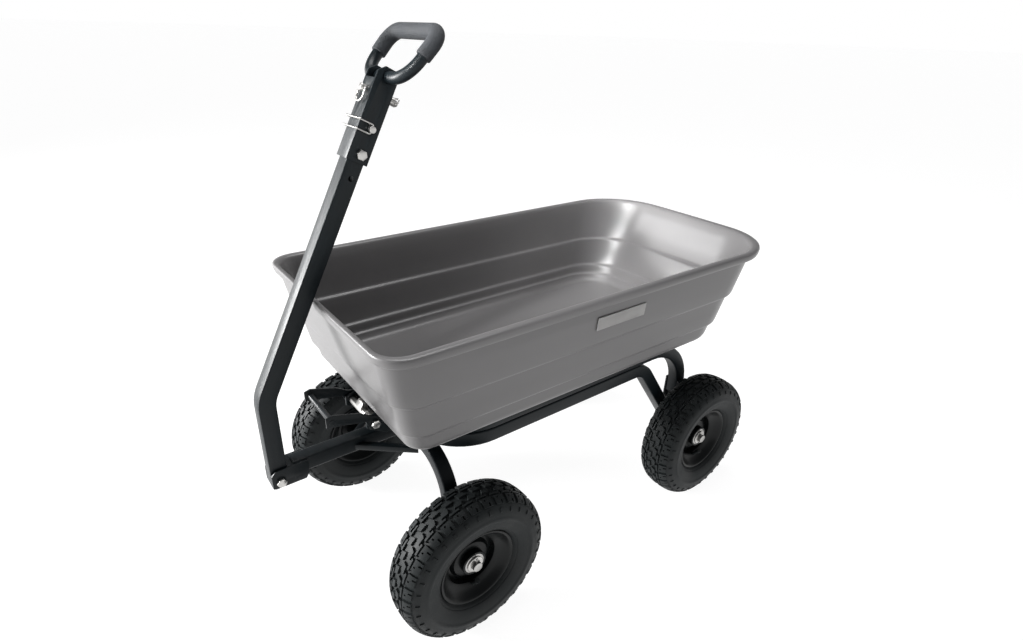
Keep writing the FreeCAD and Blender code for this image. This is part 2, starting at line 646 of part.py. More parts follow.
def tub_outline(level, inset, spread=0.0, front_spread=0.0):
    """Outline of the tub at a level, moved in from its faces or spread out over its rim."""
    drop = size("tub_rim") - level
    half = size("rim_half_width") - size("side_slope") * drop - inset + spread
    front = -size("rim_front") + size("front_slope") * drop + inset - front_spread
    rear = size("rim_rear") - size("rear_slope") * drop - inset + spread
    corner = size("front_corner")
    sweep = size("rear_corner") - size("corner_fall") * drop + spread - inset / 2
    taper = size("rim_taper")
    bow = size("rim_bow")
    bow_radius = (half * half + bow * bow) / (2 * bow)
    bow_centre = rear + bow - bow_radius
    right = half + taper - sweep
    arc_y = bow_centre + math.sqrt((bow_radius - sweep) ** 2 - right ** 2)
    away = math.atan2(right, arc_y - bow_centre)
    middle = (math.pi / 2 - away) / 2 + away
    front_x = half - taper - corner
    diagonal = math.sqrt(0.5)

    def point(x, y):
        return Vector(x, y, level)

    half_points = [
        (front_x, front),
        (front_x + corner * diagonal, front + corner - corner * diagonal),
        (front_x + corner, front + corner),
        (right + sweep, arc_y),
        (right + sweep * math.sin(middle), arc_y + sweep * math.cos(middle)),
        (right + sweep * math.sin(away), arc_y + sweep * math.cos(away)),
    ]
    r = [point(x, y) for x, y in half_points]
    l = [point(-x, y) for x, y in half_points]
    return Part.Wire([
        Part.makeLine(l[0], r[0]),
        Part.Arc(r[0], r[1], r[2]).toShape(),
        Part.makeLine(r[2], r[3]),
        Part.Arc(r[3], r[4], r[5]).toShape(),
        Part.Arc(r[5], point(0, bow_centre + bow_radius), l[5]).toShape(),
        Part.Arc(l[5], l[4], l[3]).toShape(),
        Part.makeLine(l[3], l[2]),
        Part.Arc(l[2], l[1], l[0]).toShape(),
    ])


def stepped_solid(levels, inset):
    """Sloping solid with a step at each ledge."""
    shape = None
    ledge = size("ledge")
    for i in range(len(levels) - 1):
        step = inset + ledge * (len(levels) - 2 - i)
        course = Part.makeLoft([tub_outline(levels[i], step), tub_outline(levels[i + 1], step)], True, True)
        shape = shape.fuse(course) if shape else course
    return shape


def bolt_places():
    """Points under the tub's floor where its four bolts come up through the frame."""
    rows = (-size("tub_bolt_front"), size("tub_bolt_rear"))
    return [Vector(x, y, size("tub_floor")) for x in (RAIL_X, -RAIL_X) for y in rows]


def tub():
    """Moulded tub with two ledges and a rolled rim."""
    wall = size("tub_wall")
    rim_z = size("tub_rim")
    floor = size("tub_floor")
    lower = size("lower_ledge")
    upper = size("upper_ledge")
    shell = stepped_solid((floor, lower, upper, rim_z), 0)
    flange = Part.Face(tub_outline(rim_z, 0, size("rim_lip"), size("front_lip")))
    skirt_hollow = Part.Face(tub_outline(rim_z, 0, size("rim_lip") - 3, size("front_lip") - 3))
    lip = flange.extrude(Vector(0, 0, -size("rim_drop")))
    hollow = skirt_hollow.extrude(Vector(0, 0, -size("rim_drop")))
    hollow.translate(Vector(0, 0, -wall))
    shell = shell.fuse(lip.cut(hollow))
    shell = shell.cut(stepped_solid((floor + wall + 0.5, lower + wall, upper + wall, rim_z + 0.001), wall))
    for place in bolt_places():
        shell = shell.cut(Part.makeCylinder(size("bolt_radius") + 0.2, wall - 0.8, place))
    keep(feature("tub", shell.removeSplitter()))


def tub_frame():
    """One bent tube under the tub: front hoop, side rails and the arms over the rear axle."""
    frame = hoop(TUB_FRAME_Z)
    for x in (RAIL_X, -RAIL_X):
        arm = bent_tube([Vector(x, 0, TUB_FRAME_Z), Vector(x, REAR_Y, TUB_FRAME_Z),
                         Vector(x, REAR_Y, size("arm_foot"))],
                        [size("arm_bend")], X_AXIS, Z_AXIS, TUBE, TUBE)
        frame = frame.fuse(arm)
    frame = frame.removeSplitter()
    for place in bolt_places():
        frame = drilled(frame, place, Z_AXIS, size("bolt_radius") + 0.2, 8)
    keep(feature("tub_frame", frame))


def tub_hinge_plates():
    """Four plates that hang the tub frame's arms on the rear axle."""
    plate = new_body("hinge_plate_pattern")
    pad(plate, "YZ_Plane", (("-9", "-14"), ("9", "-14"), ("16", "-4"), ("12.5", "hinge_top - tyre_radius"),
                            ("-12.5", "hinge_top - tyre_radius"), ("-16", "-4")),
        "hinge_plate", holes=(("0", "0", "axle_radius + running_gap"),))
    thick = size("hinge_plate")
    inner = RAIL_X - TUBE / 2 - 0.5 - thick
    outer = RAIL_X + TUBE / 2 + 0.5
    xs = (inner, outer, -inner - thick, -outer - thick)
    group("tub_hinge_plates", [(plate, at(x, REAR_Y, AXLE_Z)) for x in xs])


def tub_fasteners():
    """Bolts that hold the tub: their heads are inside the frame tube, their tips in the tub's floor."""
    bolt = hexagon_bolt("tub_bolt_pattern", "( tube_wall + 3 )")
    under_wall = Vector(0, 0, -size("tube_wall"))
    upright = Rotation(Y_AXIS, 90)
    group("tub_bolts", [(bolt, Placement(place + under_wall, upright)) for place in bolt_places()])


def striker():
    """Angle plate on the front of the tub frame; its window takes the latch hook."""
    body = keep(new_body("striker_plate"))
    top = "tub_floor"
    pad(body, "XZ_Plane", rectangle("-20", "20", "320", top), "4", offset="striker_face - 4",
        inner=rectangle("-12", "12", "323.5", "336"))
    pad(body, "XY_Plane", rectangle("-20", "20", "2 - striker_face", "0 - hoop_front - tube_side / 2"),
        "3.5", offset="tub_floor - 3.5")


def name_plate():
    """Blank plate on the +X wall of the tub."""
    drop = size("tub_rim") - size("name_plate_level")
    x = size("rim_half_width") - size("side_slope") * drop + 0.8
    plate = keep(new_body("name_plate", ("%.3f" % x, "name_plate_middle", "name_plate_level"),
                          Rotation(Y_AXIS, math.degrees(math.atan(size("side_slope"))))))
    half = "name_plate_length / 2"
    pad(plate, "YZ_Plane", rectangle("0 - " + half, half, "0 - name_plate_height / 2", "name_plate_height / 2"),
        "1.6")


# ---- latch --------------------------------------------------------------------------------------

def latch_brackets():
    """Two plates on the front of the hoop that carry the latch shaft."""
    bracket = new_body("latch_bracket_pattern")
    hoop_face = "0 - hoop_front - tube_side / 2"
    pad(bracket, "YZ_Plane", (
        (hoop_face, "rail_bottom"), (hoop_face, "rail_bottom + tube_side"), ("-300", "331"),
        ("4 - latch_pivot", "331"), ("0 - latch_pivot - 12", "latch_level + 8"),
        ("0 - latch_pivot - 12", "latch_level - 9"), ("-302", "rail_bottom")),
        "latch_plate", holes=(("0 - latch_pivot", "latch_level", "bolt_radius + running_gap"),))
    x = size("latch_bracket")
    group("latch_brackets", [(bracket, at(x, 0, 0)), (bracket, at(-x - size("latch_plate"), 0, 0))])


def latch():
    """Lever with its bar, the shaft it turns on and the sleeve with the hook."""
    lever = keep(new_body("latch_lever", BY_LATCH))
    pad_round(lever, "YZ_Plane", "0 - latch_bar_reach", "latch_bar_rise", "latch_bar",
              "2 * latch_arm + 2 * latch_plate + 2")
    arm = (("-76", "20"), ("-76", "36"), ("-66", "39"), ("-24", "27"), ("-6", "15.5"), ("8", "12"),
           ("11", "5"), ("10", "-8"), ("-8", "-9"), ("-15", "8"), ("-60", "18"))
    for offset in ("latch_arm", "0 - latch_arm - latch_plate"):
        pad(lever, "YZ_Plane", arm, "latch_plate", holes=(("0", "0", "bolt_radius"),), offset=offset)

    outer = size("latch_arm") + size("latch_plate")
    through_bolt("latch_shaft", outer, 0, Vector(0, -size("latch_pivot"), size("latch_level")))

    hook = keep(new_body("latch_hook", BY_LATCH))
    revolve(hook, rectangle("0.5 - latch_bracket", "latch_bracket - 0.5", "bolt_radius", "latch_sleeve"))
    pad(hook, "YZ_Plane", (("-6.5", "0"), ("0", "-5"), ("6", "0"), ("5", "9"), ("7", "12"), ("7", "17"), ("-2", "17"),
                           ("-6.5", "9")), "18", both_ways=True)
    bore(hook, "YZ_Plane", (("0", "0", "bolt_radius"),))


def latch_spring():
    """Torsion spring coiled round the hook's sleeve, with one leg under the bracket's edge."""
    wire = 0.9
    coil = Part.makeHelix(2.2, 13.2, size("latch_sleeve") + 2.2)
    profile = Part.Wire(Part.Circle(Vector(size("latch_sleeve") + 2.2, 0, 0), Y_AXIS, wire).toShape())
    spring = Part.Wire(coil).makePipeShell([profile], True, True)
    place = Placement(Vector(21.5, -size("latch_pivot"), size("latch_level")), Rotation(Y_AXIS, 90))
    spring.Placement = place
    keep(feature("latch_spring", spring))


# ---- handle -------------------------------------------------------------------------------------

def handle_tube():
    """Bent square tube from the clevis to the head."""
    foot = Vector(0, -size("handle_pivot"), size("handle_foot"))
    tube = bent_tube([foot, HANDLE_BEND, on_handle(0, 0, size("handle_length"))],
                     [size("handle_bend")], X_AXIS, Y_AXIS, TUBE, TUBE)
    radius = size("bolt_radius")
    back = size("pin_back")
    pivot = Vector(0, -size("handle_pivot"), size("handle_pivot_level"))
    tube = drilled(tube, pivot, X_AXIS, radius + size("running_gap"), 30)
    tube = drilled(tube, on_handle(0, back, size("head_bolt")), X_AXIS, radius, 30)
    tube = drilled(tube, on_handle(0, back, size("lock_pin")), X_AXIS, radius + size("running_gap"), 30)
    tube = drilled(tube, on_handle(0, back, size("spare_hole")), X_AXIS, radius, 30)
    tube = drilled(tube, on_handle(0, 0, size("hitch_pin")), HANDLE_TURN.multVec(Y_AXIS),
                   size("hitch_pin_radius") + size("running_gap"), 30)
    keep(feature("handle_tube", tube))


def handle_head():
    """Folded steel head that joins the grip to the handle tube."""
    head = keep(new_body("handle_head", BY_HANDLE_BEND, HANDLE_TURN))
    width = "2 * head_outer"
    pad(head, "YZ_Plane", rectangle("0 - head_outer", "0 - head_inner", "head_start", "head_front_end"),
        width, both_ways=True)
    cheek = (("0 - head_outer", "head_start"), ("head_outer", "head_start"), ("head_outer", "head_end - 9"),
             ("head_outer - 7", "head_end"), ("9 - head_outer", "head_end"), ("0 - head_outer", "head_end - 9"))
    holes = (("pin_back", "head_bolt", "bolt_radius"),
             ("pin_back", "lock_pin", "bolt_radius + running_gap"),
             ("grip_back", "grip_bar", "grip_tube"))
    for offset in ("head_inner", "0 - head_outer"):
        pad(head, "YZ_Plane", cheek, "head_outer - head_inner", holes=holes, offset=offset)
    pad(head, "YZ_Plane", rectangle("head_inner", "head_outer", "head_rear_start", "head_rear_end"),
        width, both_ways=True)
    bore(head, "XZ_Plane", (("0", "hitch_pin", "hitch_pin_radius + running_gap"),))
    through_bolt("head_bolt", size("head_outer"), size("pin_back"), on_handle(0, 0, size("head_bolt")), HANDLE_TURN)


def grip():
    """D-shaped loop of round tube with a foam sleeve over its upper part."""
    start = on_handle(0, size("grip_back"), size("grip_bar"))
    lean = math.radians(size("grip_lean"))
    top = Vector(0, math.sin(lean), math.cos(lean)) * size("grip_height")
    foot = X_AXIS * size("grip_foot")
    shoulder = X_AXIS * size("grip_shoulder")
    corners = [start + foot, start + top + shoulder, start + top - shoulder, start - foot]
    low_bend = size("grip_foot_bend")
    top_bend = size("grip_top_bend")
    radii = [low_bend, top_bend, top_bend, low_bend]
    loop = [start] + corners + [start]
    radius = size("grip_tube")
    bore_radius = radius - 1.5
    keep(feature("grip_frame", bent_wire(loop, radii, radius).cut(bent_wire(loop, radii, bore_radius))))

    sleeve_start = 0.47
    right_low = corners[0] + (corners[1] - corners[0]) * sleeve_start
    left_low = corners[3] + (corners[2] - corners[3]) * sleeve_start
    sleeve = [right_low, corners[1], corners[2], left_low]
    foam = bent_wire(sleeve, [top_bend], size("foam_radius"))
    keep(feature("foam_grip", foam.cut(bent_wire(sleeve, [top_bend], radius))))


def lock_pin():
    """Pin through the head with a wire bail that swings over its tip."""
    pin = keep(new_body("lock_pin", ("0", "%.4f" % on_handle(0, size("pin_back"), size("lock_pin")).y,
                                     "%.4f" % on_handle(0, size("pin_back"), size("lock_pin")).z), HANDLE_TURN))
    revolve(pin, (("-19.5", "0"), ("24", "0"), ("24", "4.7"), ("16.2", "4.7"), ("16.2", "bolt_radius"),
                  ("-18.5", "bolt_radius"), ("-19.5", "bolt_radius - 1")))
    bore(pin, "XY_Plane", (("20", "0", "1.25"),))

    def local(x, back, up):
        return on_handle(x, back + size("pin_back"), up + size("lock_pin"))

    strand = 6.5
    front = -22.4
    points = [local(20, 0, 1.2), local(20, 0, strand), local(20, front, strand), local(-22.6, front, strand),
              local(-22.6, 0.5, strand)]
    points += [local(-22.6, 0.5, -strand), local(-22.6, front, -strand), local(20, front, -strand),
               local(20, 0, -strand), local(20, 0, -1.2)]
    keep(feature("lock_bail", bent_wire(points, [2.4, 5, 5, 4, 4, 5, 5, 2.4], 1.15)))


def hitch_pin():
    """Long pin along the cart through the head, with its pull ring and hair clip."""
    radius = size("hitch_pin_radius")
    level = size("hitch_pin")
    centre = on_handle(0, 0, level)
    turn = HANDLE_TURN.multiply(Rotation(Z_AXIS, 90))
    pin = keep(new_body("hitch_pin", ("0", "%.4f" % centre.y, "%.4f" % centre.z), turn))
    revolve(pin, (("-25", "0"), ("-25", "hitch_pin_radius - 1"), ("-24", "hitch_pin_radius"),
                  ("30", "hitch_pin_radius"), ("33", "hitch_pin_radius - 2"), ("33", "0")))
    bore(pin, "XZ_Plane", (("-20.5", "0", "1.4"), ("27.5", "0", "1.1")))

    def loop_point(x, up):
        return on_handle(x, -20.5, level + up)

    ring_points = [loop_point(-9, 0), loop_point(9, 0), loop_point(9, -18), loop_point(-9, -18)]
    keep(feature("hitch_ring", bent_wire(ring_points, [2.6, 2.6, 8.6, 8.6], 1.35, closed=True)))

    def clip_point(x, up):
        return on_handle(x, 27.5, level + up)

    clip_points = [clip_point(-10, 0), clip_point(13, 0), clip_point(13, 6.5), clip_point(-8, 6.5)]
    keep(feature("hair_clip", bent_wire(clip_points, [3.2], 1.05)))


# ---- the cart -----------------------------------------------------------------------------------

wheels()
axle_hardware()
spacers("front_spacers", size("arch_outer"), FRONT_Y)
spacers("rear_spacers", size("rail_outer") + 0.8 + size("hinge_plate"), REAR_Y)
chassis_frame()
rear_stub_axles()
kingpin()
cross_tubes()
front_axle()
tongue()
tub()
tub_frame()
tub_hinge_plates()
tub_fasteners()
striker()
name_plate()
latch_brackets()
latch()
latch_spring()
handle_tube()
handle_head()
grip()
lock_pin()
hitch_pin()
doc.recompute()

for thing in doc.Objects:
    if "Invalid" in thing.State or "Error" in thing.State:
        raise ValueError("%s did not rebuild: %s" % (thing.Label, thing.State))
for node in NODES:
    if node.Shape.isNull() or not node.Shape.isValid():
        raise ValueError(node.Label + " has no valid shape")

os.makedirs("parts", exist_ok=True)
for node in NODES:
    node.Shape.exportStep("parts/%s.step" % node.Label)
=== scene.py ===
import json
import math

import bmesh
import bpy
from mathutils import Matrix, Vector


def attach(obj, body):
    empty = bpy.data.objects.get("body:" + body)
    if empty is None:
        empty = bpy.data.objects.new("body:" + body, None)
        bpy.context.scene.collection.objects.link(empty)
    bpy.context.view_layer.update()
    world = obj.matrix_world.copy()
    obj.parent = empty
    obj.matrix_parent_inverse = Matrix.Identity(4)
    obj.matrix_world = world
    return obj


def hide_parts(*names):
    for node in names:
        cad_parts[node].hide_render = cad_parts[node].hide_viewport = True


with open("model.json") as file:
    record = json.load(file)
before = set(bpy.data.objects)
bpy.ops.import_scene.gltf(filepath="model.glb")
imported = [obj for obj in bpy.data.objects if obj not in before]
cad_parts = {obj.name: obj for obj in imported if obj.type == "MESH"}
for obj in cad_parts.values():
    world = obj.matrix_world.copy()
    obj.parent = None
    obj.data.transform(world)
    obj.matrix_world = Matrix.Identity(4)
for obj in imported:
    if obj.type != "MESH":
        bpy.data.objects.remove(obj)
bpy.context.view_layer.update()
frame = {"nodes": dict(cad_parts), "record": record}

bl_info = {
    "name": "Garden dump cart",
    "version": (1, 0, 0),
    "blender": (4, 5, 0),
    "location": "3D View > Sidebar > Cart",
    "description": "Builds the finished look of a garden dump cart round its packed frame",
    "category": "Object",
}

# Metres, with Z up and -Y towards the handle, unless a name or comment says millimetres.
MM = 0.001
SQUARE_TUBE = 0.025
AXLE_HEIGHT = 0.130
FRONT_AXLE_Y = -0.254
REAR_AXLE_Y = 0.309
WHEEL_PLANE = 0.210
RAIL_X = 0.1475
CHASSIS_Z = 0.3015
TUB_FRAME_Z = 0.327
HOOP_Y = -0.2585
HOOP_BEND = 0.0875
HANDLE_PIVOT_Y = -0.4675
HANDLE_BEND_Z = 0.392
HANDLE_LEAN = math.radians(26.8)
GRIP_LEAN = math.radians(43.1)
WHEELS = {
    "front_left": (WHEEL_PLANE, FRONT_AXLE_Y, False),
    "front_right": (-WHEEL_PLANE, FRONT_AXLE_Y, True),
    "rear_left": (WHEEL_PLANE, REAR_AXLE_Y, False),
    "rear_right": (-WHEEL_PLANE, REAR_AXLE_Y, True),
}


# ---- settings -----------------------------------------------------------------------------------

class CartSizes(bpy.types.PropertyGroup):
    """Sizes of the details that the frame leaves open"""
    tread_pitches: bpy.props.IntProperty(
        name="Tread pitches", description="Blocks in each row of the tread", default=34, min=12, max=60)
    tube_corner: bpy.props.FloatProperty(
        name="Tube corner", description="Outer corner radius of the square tubes", default=0.0032,
        unit="LENGTH")
    tube_wall: bpy.props.FloatProperty(
        name="Tube wall", description="Wall of the square tubes", default=0.002, unit="LENGTH")
    edge: bpy.props.FloatProperty(
        name="Edge", description="Softening of the edges of plates and bolts", default=0.0006, unit="LENGTH")
    foam_radius: bpy.props.FloatProperty(
        name="Foam radius", description="Outer radius of the foam sleeve", default=0.0106, unit="LENGTH")


class CartColours(bpy.types.PropertyGroup):
    """Base colour of each finish"""
    tub: bpy.props.FloatVectorProperty(
        name="Tub", description="Moulded plastic", subtype="COLOR", size=3, default=(0.126, 0.123, 0.124))
    frame: bpy.props.FloatVectorProperty(
        name="Frame", description="Powder coat", subtype="COLOR", size=3, default=(0.0045, 0.0070, 0.0085))
    rim: bpy.props.FloatVectorProperty(
        name="Rims", description="Painted rims", subtype="COLOR", size=3, default=(0.0040, 0.0050, 0.0052))
    rubber: bpy.props.FloatVectorProperty(
        name="Tyres", description="Tyre rubber", subtype="COLOR", size=3, default=(0.0085, 0.0105, 0.0110))
    zinc: bpy.props.FloatVectorProperty(
        name="Zinc", description="Plated hardware", subtype="COLOR", size=3, default=(0.66, 0.65, 0.63))
    foam: bpy.props.FloatVectorProperty(
        name="Foam", description="Foam sleeve", subtype="COLOR", size=3, default=(0.022, 0.024, 0.027))
    plate: bpy.props.FloatVectorProperty(
        name="Plate", description="Blank name plate", subtype="COLOR", size=3, default=(0.27, 0.265, 0.26))


def sizes():
    """The scene's detail sizes."""
    return bpy.context.scene.cart_sizes


def colours():
    """The scene's finish colours."""
    return bpy.context.scene.cart_colours


# ---- materials ----------------------------------------------------------------------------------

def group_socket(tree, name, direction, kind, default=None):
    """One named socket on a shader node group."""
    item = tree.interface.new_socket(name=name, in_out=direction, socket_type=kind)
    if default is not None:
        item.default_value = default
    return item


def surface_group():
    """Shader group: mottled colour, roughness and a fine height for any finish."""
    name = "surface_grain"
    if name in bpy.data.node_groups:
        return bpy.data.node_groups[name]
    tree = bpy.data.node_groups.new(name, "ShaderNodeTree")
    group_socket(tree, "Colour", "INPUT", "NodeSocketColor", (0.5, 0.5, 0.5, 1))
    group_socket(tree, "Worn colour", "INPUT", "NodeSocketColor", (0.5, 0.5, 0.5, 1))
    group_socket(tree, "Patch scale", "INPUT", "NodeSocketFloat", 8.0)
    group_socket(tree, "Grain scale", "INPUT", "NodeSocketFloat", 600.0)
    group_socket(tree, "Roughness low", "INPUT", "NodeSocketFloat", 0.4)
    group_socket(tree, "Roughness high", "INPUT", "NodeSocketFloat", 0.5)
    group_socket(tree, "Colour", "OUTPUT", "NodeSocketColor")
    group_socket(tree, "Roughness", "OUTPUT", "NodeSocketFloat")
    group_socket(tree, "Height", "OUTPUT", "NodeSocketFloat")
    nodes = tree.nodes
    links = tree.links
    entry = nodes.new("NodeGroupInput")
    leave = nodes.new("NodeGroupOutput")
    place = nodes.new("ShaderNodeTexCoord")
    patch = nodes.new("ShaderNodeTexNoise")
    patch.inputs["Detail"].default_value = 5.0
    grain = nodes.new("ShaderNodeTexNoise")
    grain.inputs["Detail"].default_value = 2.0
    links.new(place.outputs["Object"], patch.inputs["Vector"])
    links.new(place.outputs["Object"], grain.inputs["Vector"])
    links.new(entry.outputs["Patch scale"], patch.inputs["Scale"])
    links.new(entry.outputs["Grain scale"], grain.inputs["Scale"])
    contrast = nodes.new("ShaderNodeMapRange")
    contrast.inputs["From Min"].default_value = 0.38
    contrast.inputs["From Max"].default_value = 0.66
    links.new(patch.outputs["Fac"], contrast.inputs["Value"])
    mix = nodes.new("ShaderNodeMix")
    mix.data_type = "RGBA"
    colour_inputs = [socket for socket in mix.inputs if socket.type == "RGBA"]
    colour_output = [socket for socket in mix.outputs if socket.type == "RGBA"][0]
    links.new(contrast.outputs["Result"], mix.inputs["Factor"])
    links.new(entry.outputs["Colour"], colour_inputs[0])
    links.new(entry.outputs["Worn colour"], colour_inputs[1])
    rough = nodes.new("ShaderNodeMix")
    links.new(contrast.outputs["Result"], rough.inputs["Factor"])
    links.new(entry.outputs["Roughness low"], rough.inputs["A"])
    links.new(entry.outputs["Roughness high"], rough.inputs["B"])
    links.new(colour_output, leave.inputs["Colour"])
    links.new(rough.outputs["Result"], leave.inputs["Roughness"])
    links.new(grain.outputs["Fac"], leave.inputs["Height"])
    return tree


def make_finish(name, colour, worn, patch, grain, rough, bump, metallic=0.0, specular=0.5):
    """Principled material whose colour, roughness and fine bump come from the surface group."""
    if name in bpy.data.materials:
        return bpy.data.materials[name]
    material = bpy.data.materials.new(name)
    material.use_nodes = True
    nodes = material.node_tree.nodes
    links = material.node_tree.links
    shader = nodes["Principled BSDF"]
    surface = nodes.new("ShaderNodeGroup")
    surface.node_tree = surface_group()
    surface.inputs["Colour"].default_value = (*colour, 1)
    surface.inputs["Worn colour"].default_value = (*worn, 1)
    surface.inputs["Patch scale"].default_value = patch
    surface.inputs["Grain scale"].default_value = grain
    surface.inputs["Roughness low"].default_value = rough[0]
    surface.inputs["Roughness high"].default_value = rough[1]
    relief = nodes.new("ShaderNodeBump")
    relief.inputs["Strength"].default_value = bump[0]
    relief.inputs["Distance"].default_value = bump[1]
    links.new(surface.outputs["Colour"], shader.inputs["Base Color"])
    links.new(surface.outputs["Roughness"], shader.inputs["Roughness"])
    links.new(surface.outputs["Height"], relief.inputs["Height"])
    links.new(relief.outputs["Normal"], shader.inputs["Normal"])
    shader.inputs["Metallic"].default_value = metallic
    shader.inputs["Specular IOR Level"].default_value = specular
    return material


def shade(colour, factor):
    """A lighter or darker version of a colour."""
    return tuple(min(1.0, c * factor) for c in colour)


def tub_plastic():
    c = colours().tub
    return make_finish("moulded_polyethylene", c, shade(c, 1.07), patch=5.0, grain=900.0,
                       rough=(0.30, 0.38), bump=(0.2, 0.0004))


def powder_coat():
    c = colours().frame
    return make_finish("powder_coat", c, shade(c, 1.35), patch=14.0, grain=1400.0,
                       rough=(0.34, 0.44), bump=(0.3, 0.0003), specular=0.22)


def rim_paint():
    c = colours().rim
    return make_finish("rim_paint", c, shade(c, 1.3), patch=22.0, grain=900.0,
                       rough=(0.3, 0.4), bump=(0.2, 0.0003), specular=0.2)


def tyre_rubber():
    c = colours().rubber
    return make_finish("black_rubber", c, shade(c, 1.5), patch=16.0, grain=700.0,
                       rough=(0.5, 0.64), bump=(0.35, 0.0005), specular=0.22)


def zinc_plate():
    c = colours().zinc
    return make_finish("zinc_plate", c, shade(c, 0.8), patch=60.0, grain=900.0,
                       rough=(0.22, 0.36), bump=(0.15, 0.0002), metallic=1.0)


def turned_steel():
    c = shade(colours().zinc, 0.75)
    return make_finish("turned_steel", c, shade(c, 0.8), patch=40.0, grain=1200.0,
                       rough=(0.28, 0.42), bump=(0.15, 0.0002), metallic=1.0)


def foam_rubber():
    c = colours().foam
    return make_finish("foam_rubber", c, shade(c, 1.3), patch=30.0, grain=420.0,
                       rough=(0.72, 0.86), bump=(0.6, 0.0009), specular=0.3)


def plate_vinyl():
    c = colours().plate
    return make_finish("plate_vinyl", c, shade(c, 0.9), patch=30.0, grain=800.0,
                       rough=(0.38, 0.48), bump=(0.2, 0.0003))


FINISHES = {
    "tub_plastic": tub_plastic,
    "black_frame": powder_coat,
    "black_rim": rim_paint,
    "tyre_rubber": tyre_rubber,
    "zinc": zinc_plate,
    "axle_steel": turned_steel,
    "foam": foam_rubber,
    "valve_rubber": tyre_rubber,
    "plate_plastic": plate_vinyl,
}


# ---- helpers ------------------------------------------------------------------------------------

REPLACED = set()


def node_slots():
    """Material slot of each CAD node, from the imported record."""
    return {row["node"]: row["material_slot"] for row in frame["record"]["subparts"]}


def node_bodies():
    """Body of each CAD node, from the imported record."""
    bodies = frame["record"]["behaviour"]["bodies"]
    return {node: body for body, nodes in bodies.items() for node in nodes}


def add_piece(name, mesh, node, smooth_angle=35):
    """Show a new mesh in place of a CAD node, on the same body and in the same finish."""
    piece = bpy.data.objects.new(name, mesh)
    bpy.context.scene.collection.objects.link(piece)
    slot = node_slots()[node]
    mesh.materials.append(FINISHES[slot]())
    mesh.shade_smooth()
    mesh.set_sharp_from_angle(angle=math.radians(smooth_angle))
    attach(piece, node_bodies()[node])
    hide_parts(node)
    REPLACED.add(node)
    return piece


def to_mesh(bm, name, merge=0.00002):
    """Finish a bmesh as a closed mesh with its faces outwards."""
    bmesh.ops.remove_doubles(bm, verts=bm.verts, dist=merge)
    bmesh.ops.recalc_face_normals(bm, faces=bm.faces)
    mesh = bpy.data.meshes.new(name)
    bm.to_mesh(mesh)
    bm.free()
    return mesh


def bent_stations(points, radii, step=math.radians(7.5), closed=False):
    """Points and tangents along straight runs joined by tangent arcs."""
    points = [Vector(p) for p in points]
    count = len(points)
    stations = []
    if not closed:
        stations.append((points[0], (points[1] - points[0]).normalized()))
    corners = range(count) if closed else range(1, count - 1)
    for turn, i in enumerate(corners):
        before = (points[i - 1] - points[i]).normalized()
        after = (points[(i + 1) % count] - points[i]).normalized()
        half = before.angle(after) / 2
        radius = radii[turn % len(radii)]
        start = points[i] + before * (radius / math.tan(half))
        centre = points[i] + (before + after).normalized() * (radius / math.sin(half))
        sweep = math.pi - 2 * half
        axis = (-before).cross(after).normalized()
        pieces = max(2, math.ceil(sweep / step))
        for k in range(pieces + 1):
            turn_by = Matrix.Rotation(sweep * k / pieces, 3, axis)
            stations.append((centre + turn_by @ (start - centre), turn_by @ (-before)))
    if not closed:
        stations.append((points[-1], (points[-1] - points[-2]).normalized()))
    return stations


def sweep_section(bm, section, stations, closed=False):
    """Extrude a closed section along stations; its points are offsets at the first station."""
    origin, tangent = stations[0]
    ring = [bm.verts.new(origin + Vector(p)) for p in section]
    edges = [bm.edges.new((ring[i], ring[(i + 1) % len(ring)])) for i in range(len(ring))]
    first = list(edges)
    for point, direction in stations[1:]:
        grown = bmesh.ops.extrude_edge_only(bm, edges=edges)["geom"]
        moved = [g for g in grown if isinstance(g, bmesh.types.BMVert)]
        edges = [g for g in grown if isinstance(g, bmesh.types.BMEdge)]
        turn = tangent.rotation_difference(direction).to_matrix().to_4x4()
        matrix = Matrix.Translation(point) @ turn @ Matrix.Translation(-origin)
        bmesh.ops.transform(bm, matrix=matrix, verts=moved)
        origin = point
        tangent = direction
    if closed:
        bmesh.ops.bridge_loops(bm, edges=edges + first)
    return first, edges


def rounded_section(across, up, width, height, corner, steps=4):
    """Offsets of a rounded rectangle spanned by two directions."""
    across = Vector(across)
    up = Vector(up)
    points = []
    for quarter, (sx, sy) in enumerate(((1, 1), (-1, 1), (-1, -1), (1, -1))):
        for k in range(steps + 1):
            a = (quarter + k / steps) * math.pi / 2
            x = sx * (width / 2 - corner) + corner * math.cos(a)
            y = sy * (height / 2 - corner) + corner * math.sin(a)
            points.append(across * x + up * y)
    return points


def round_section(across, up, radius, count=20):
    """Offsets of a circle spanned by two directions."""
    across = Vector(across)
    up = Vector(up)
    turns = [2 * math.pi * k / count for k in range(count)]
    return [across * (radius * math.cos(a)) + up * (radius * math.sin(a)) for a in turns]


def square_tube_piece(name, node, points, radii, across, up, width=SQUARE_TUBE, height=SQUARE_TUBE,
                      extra=None):
    """Bent square tube with rounded corners and an open bore."""
    bm = bmesh.new()
    corner = sizes().tube_corner
    wall = sizes().tube_wall
    stations = bent_stations(points, radii)
    outer = sweep_section(bm, rounded_section(across, up, width, height, corner), stations)
    bore = rounded_section(across, up, width - 2 * wall, height - 2 * wall, corner - 0.6 * wall)
    inner = sweep_section(bm, bore, stations)
    for end in (0, 1):
        bmesh.ops.bridge_loops(bm, edges=outer[end] + inner[end])
    if extra:
        extra(bm)
    return add_piece(name, to_mesh(bm, name), node)


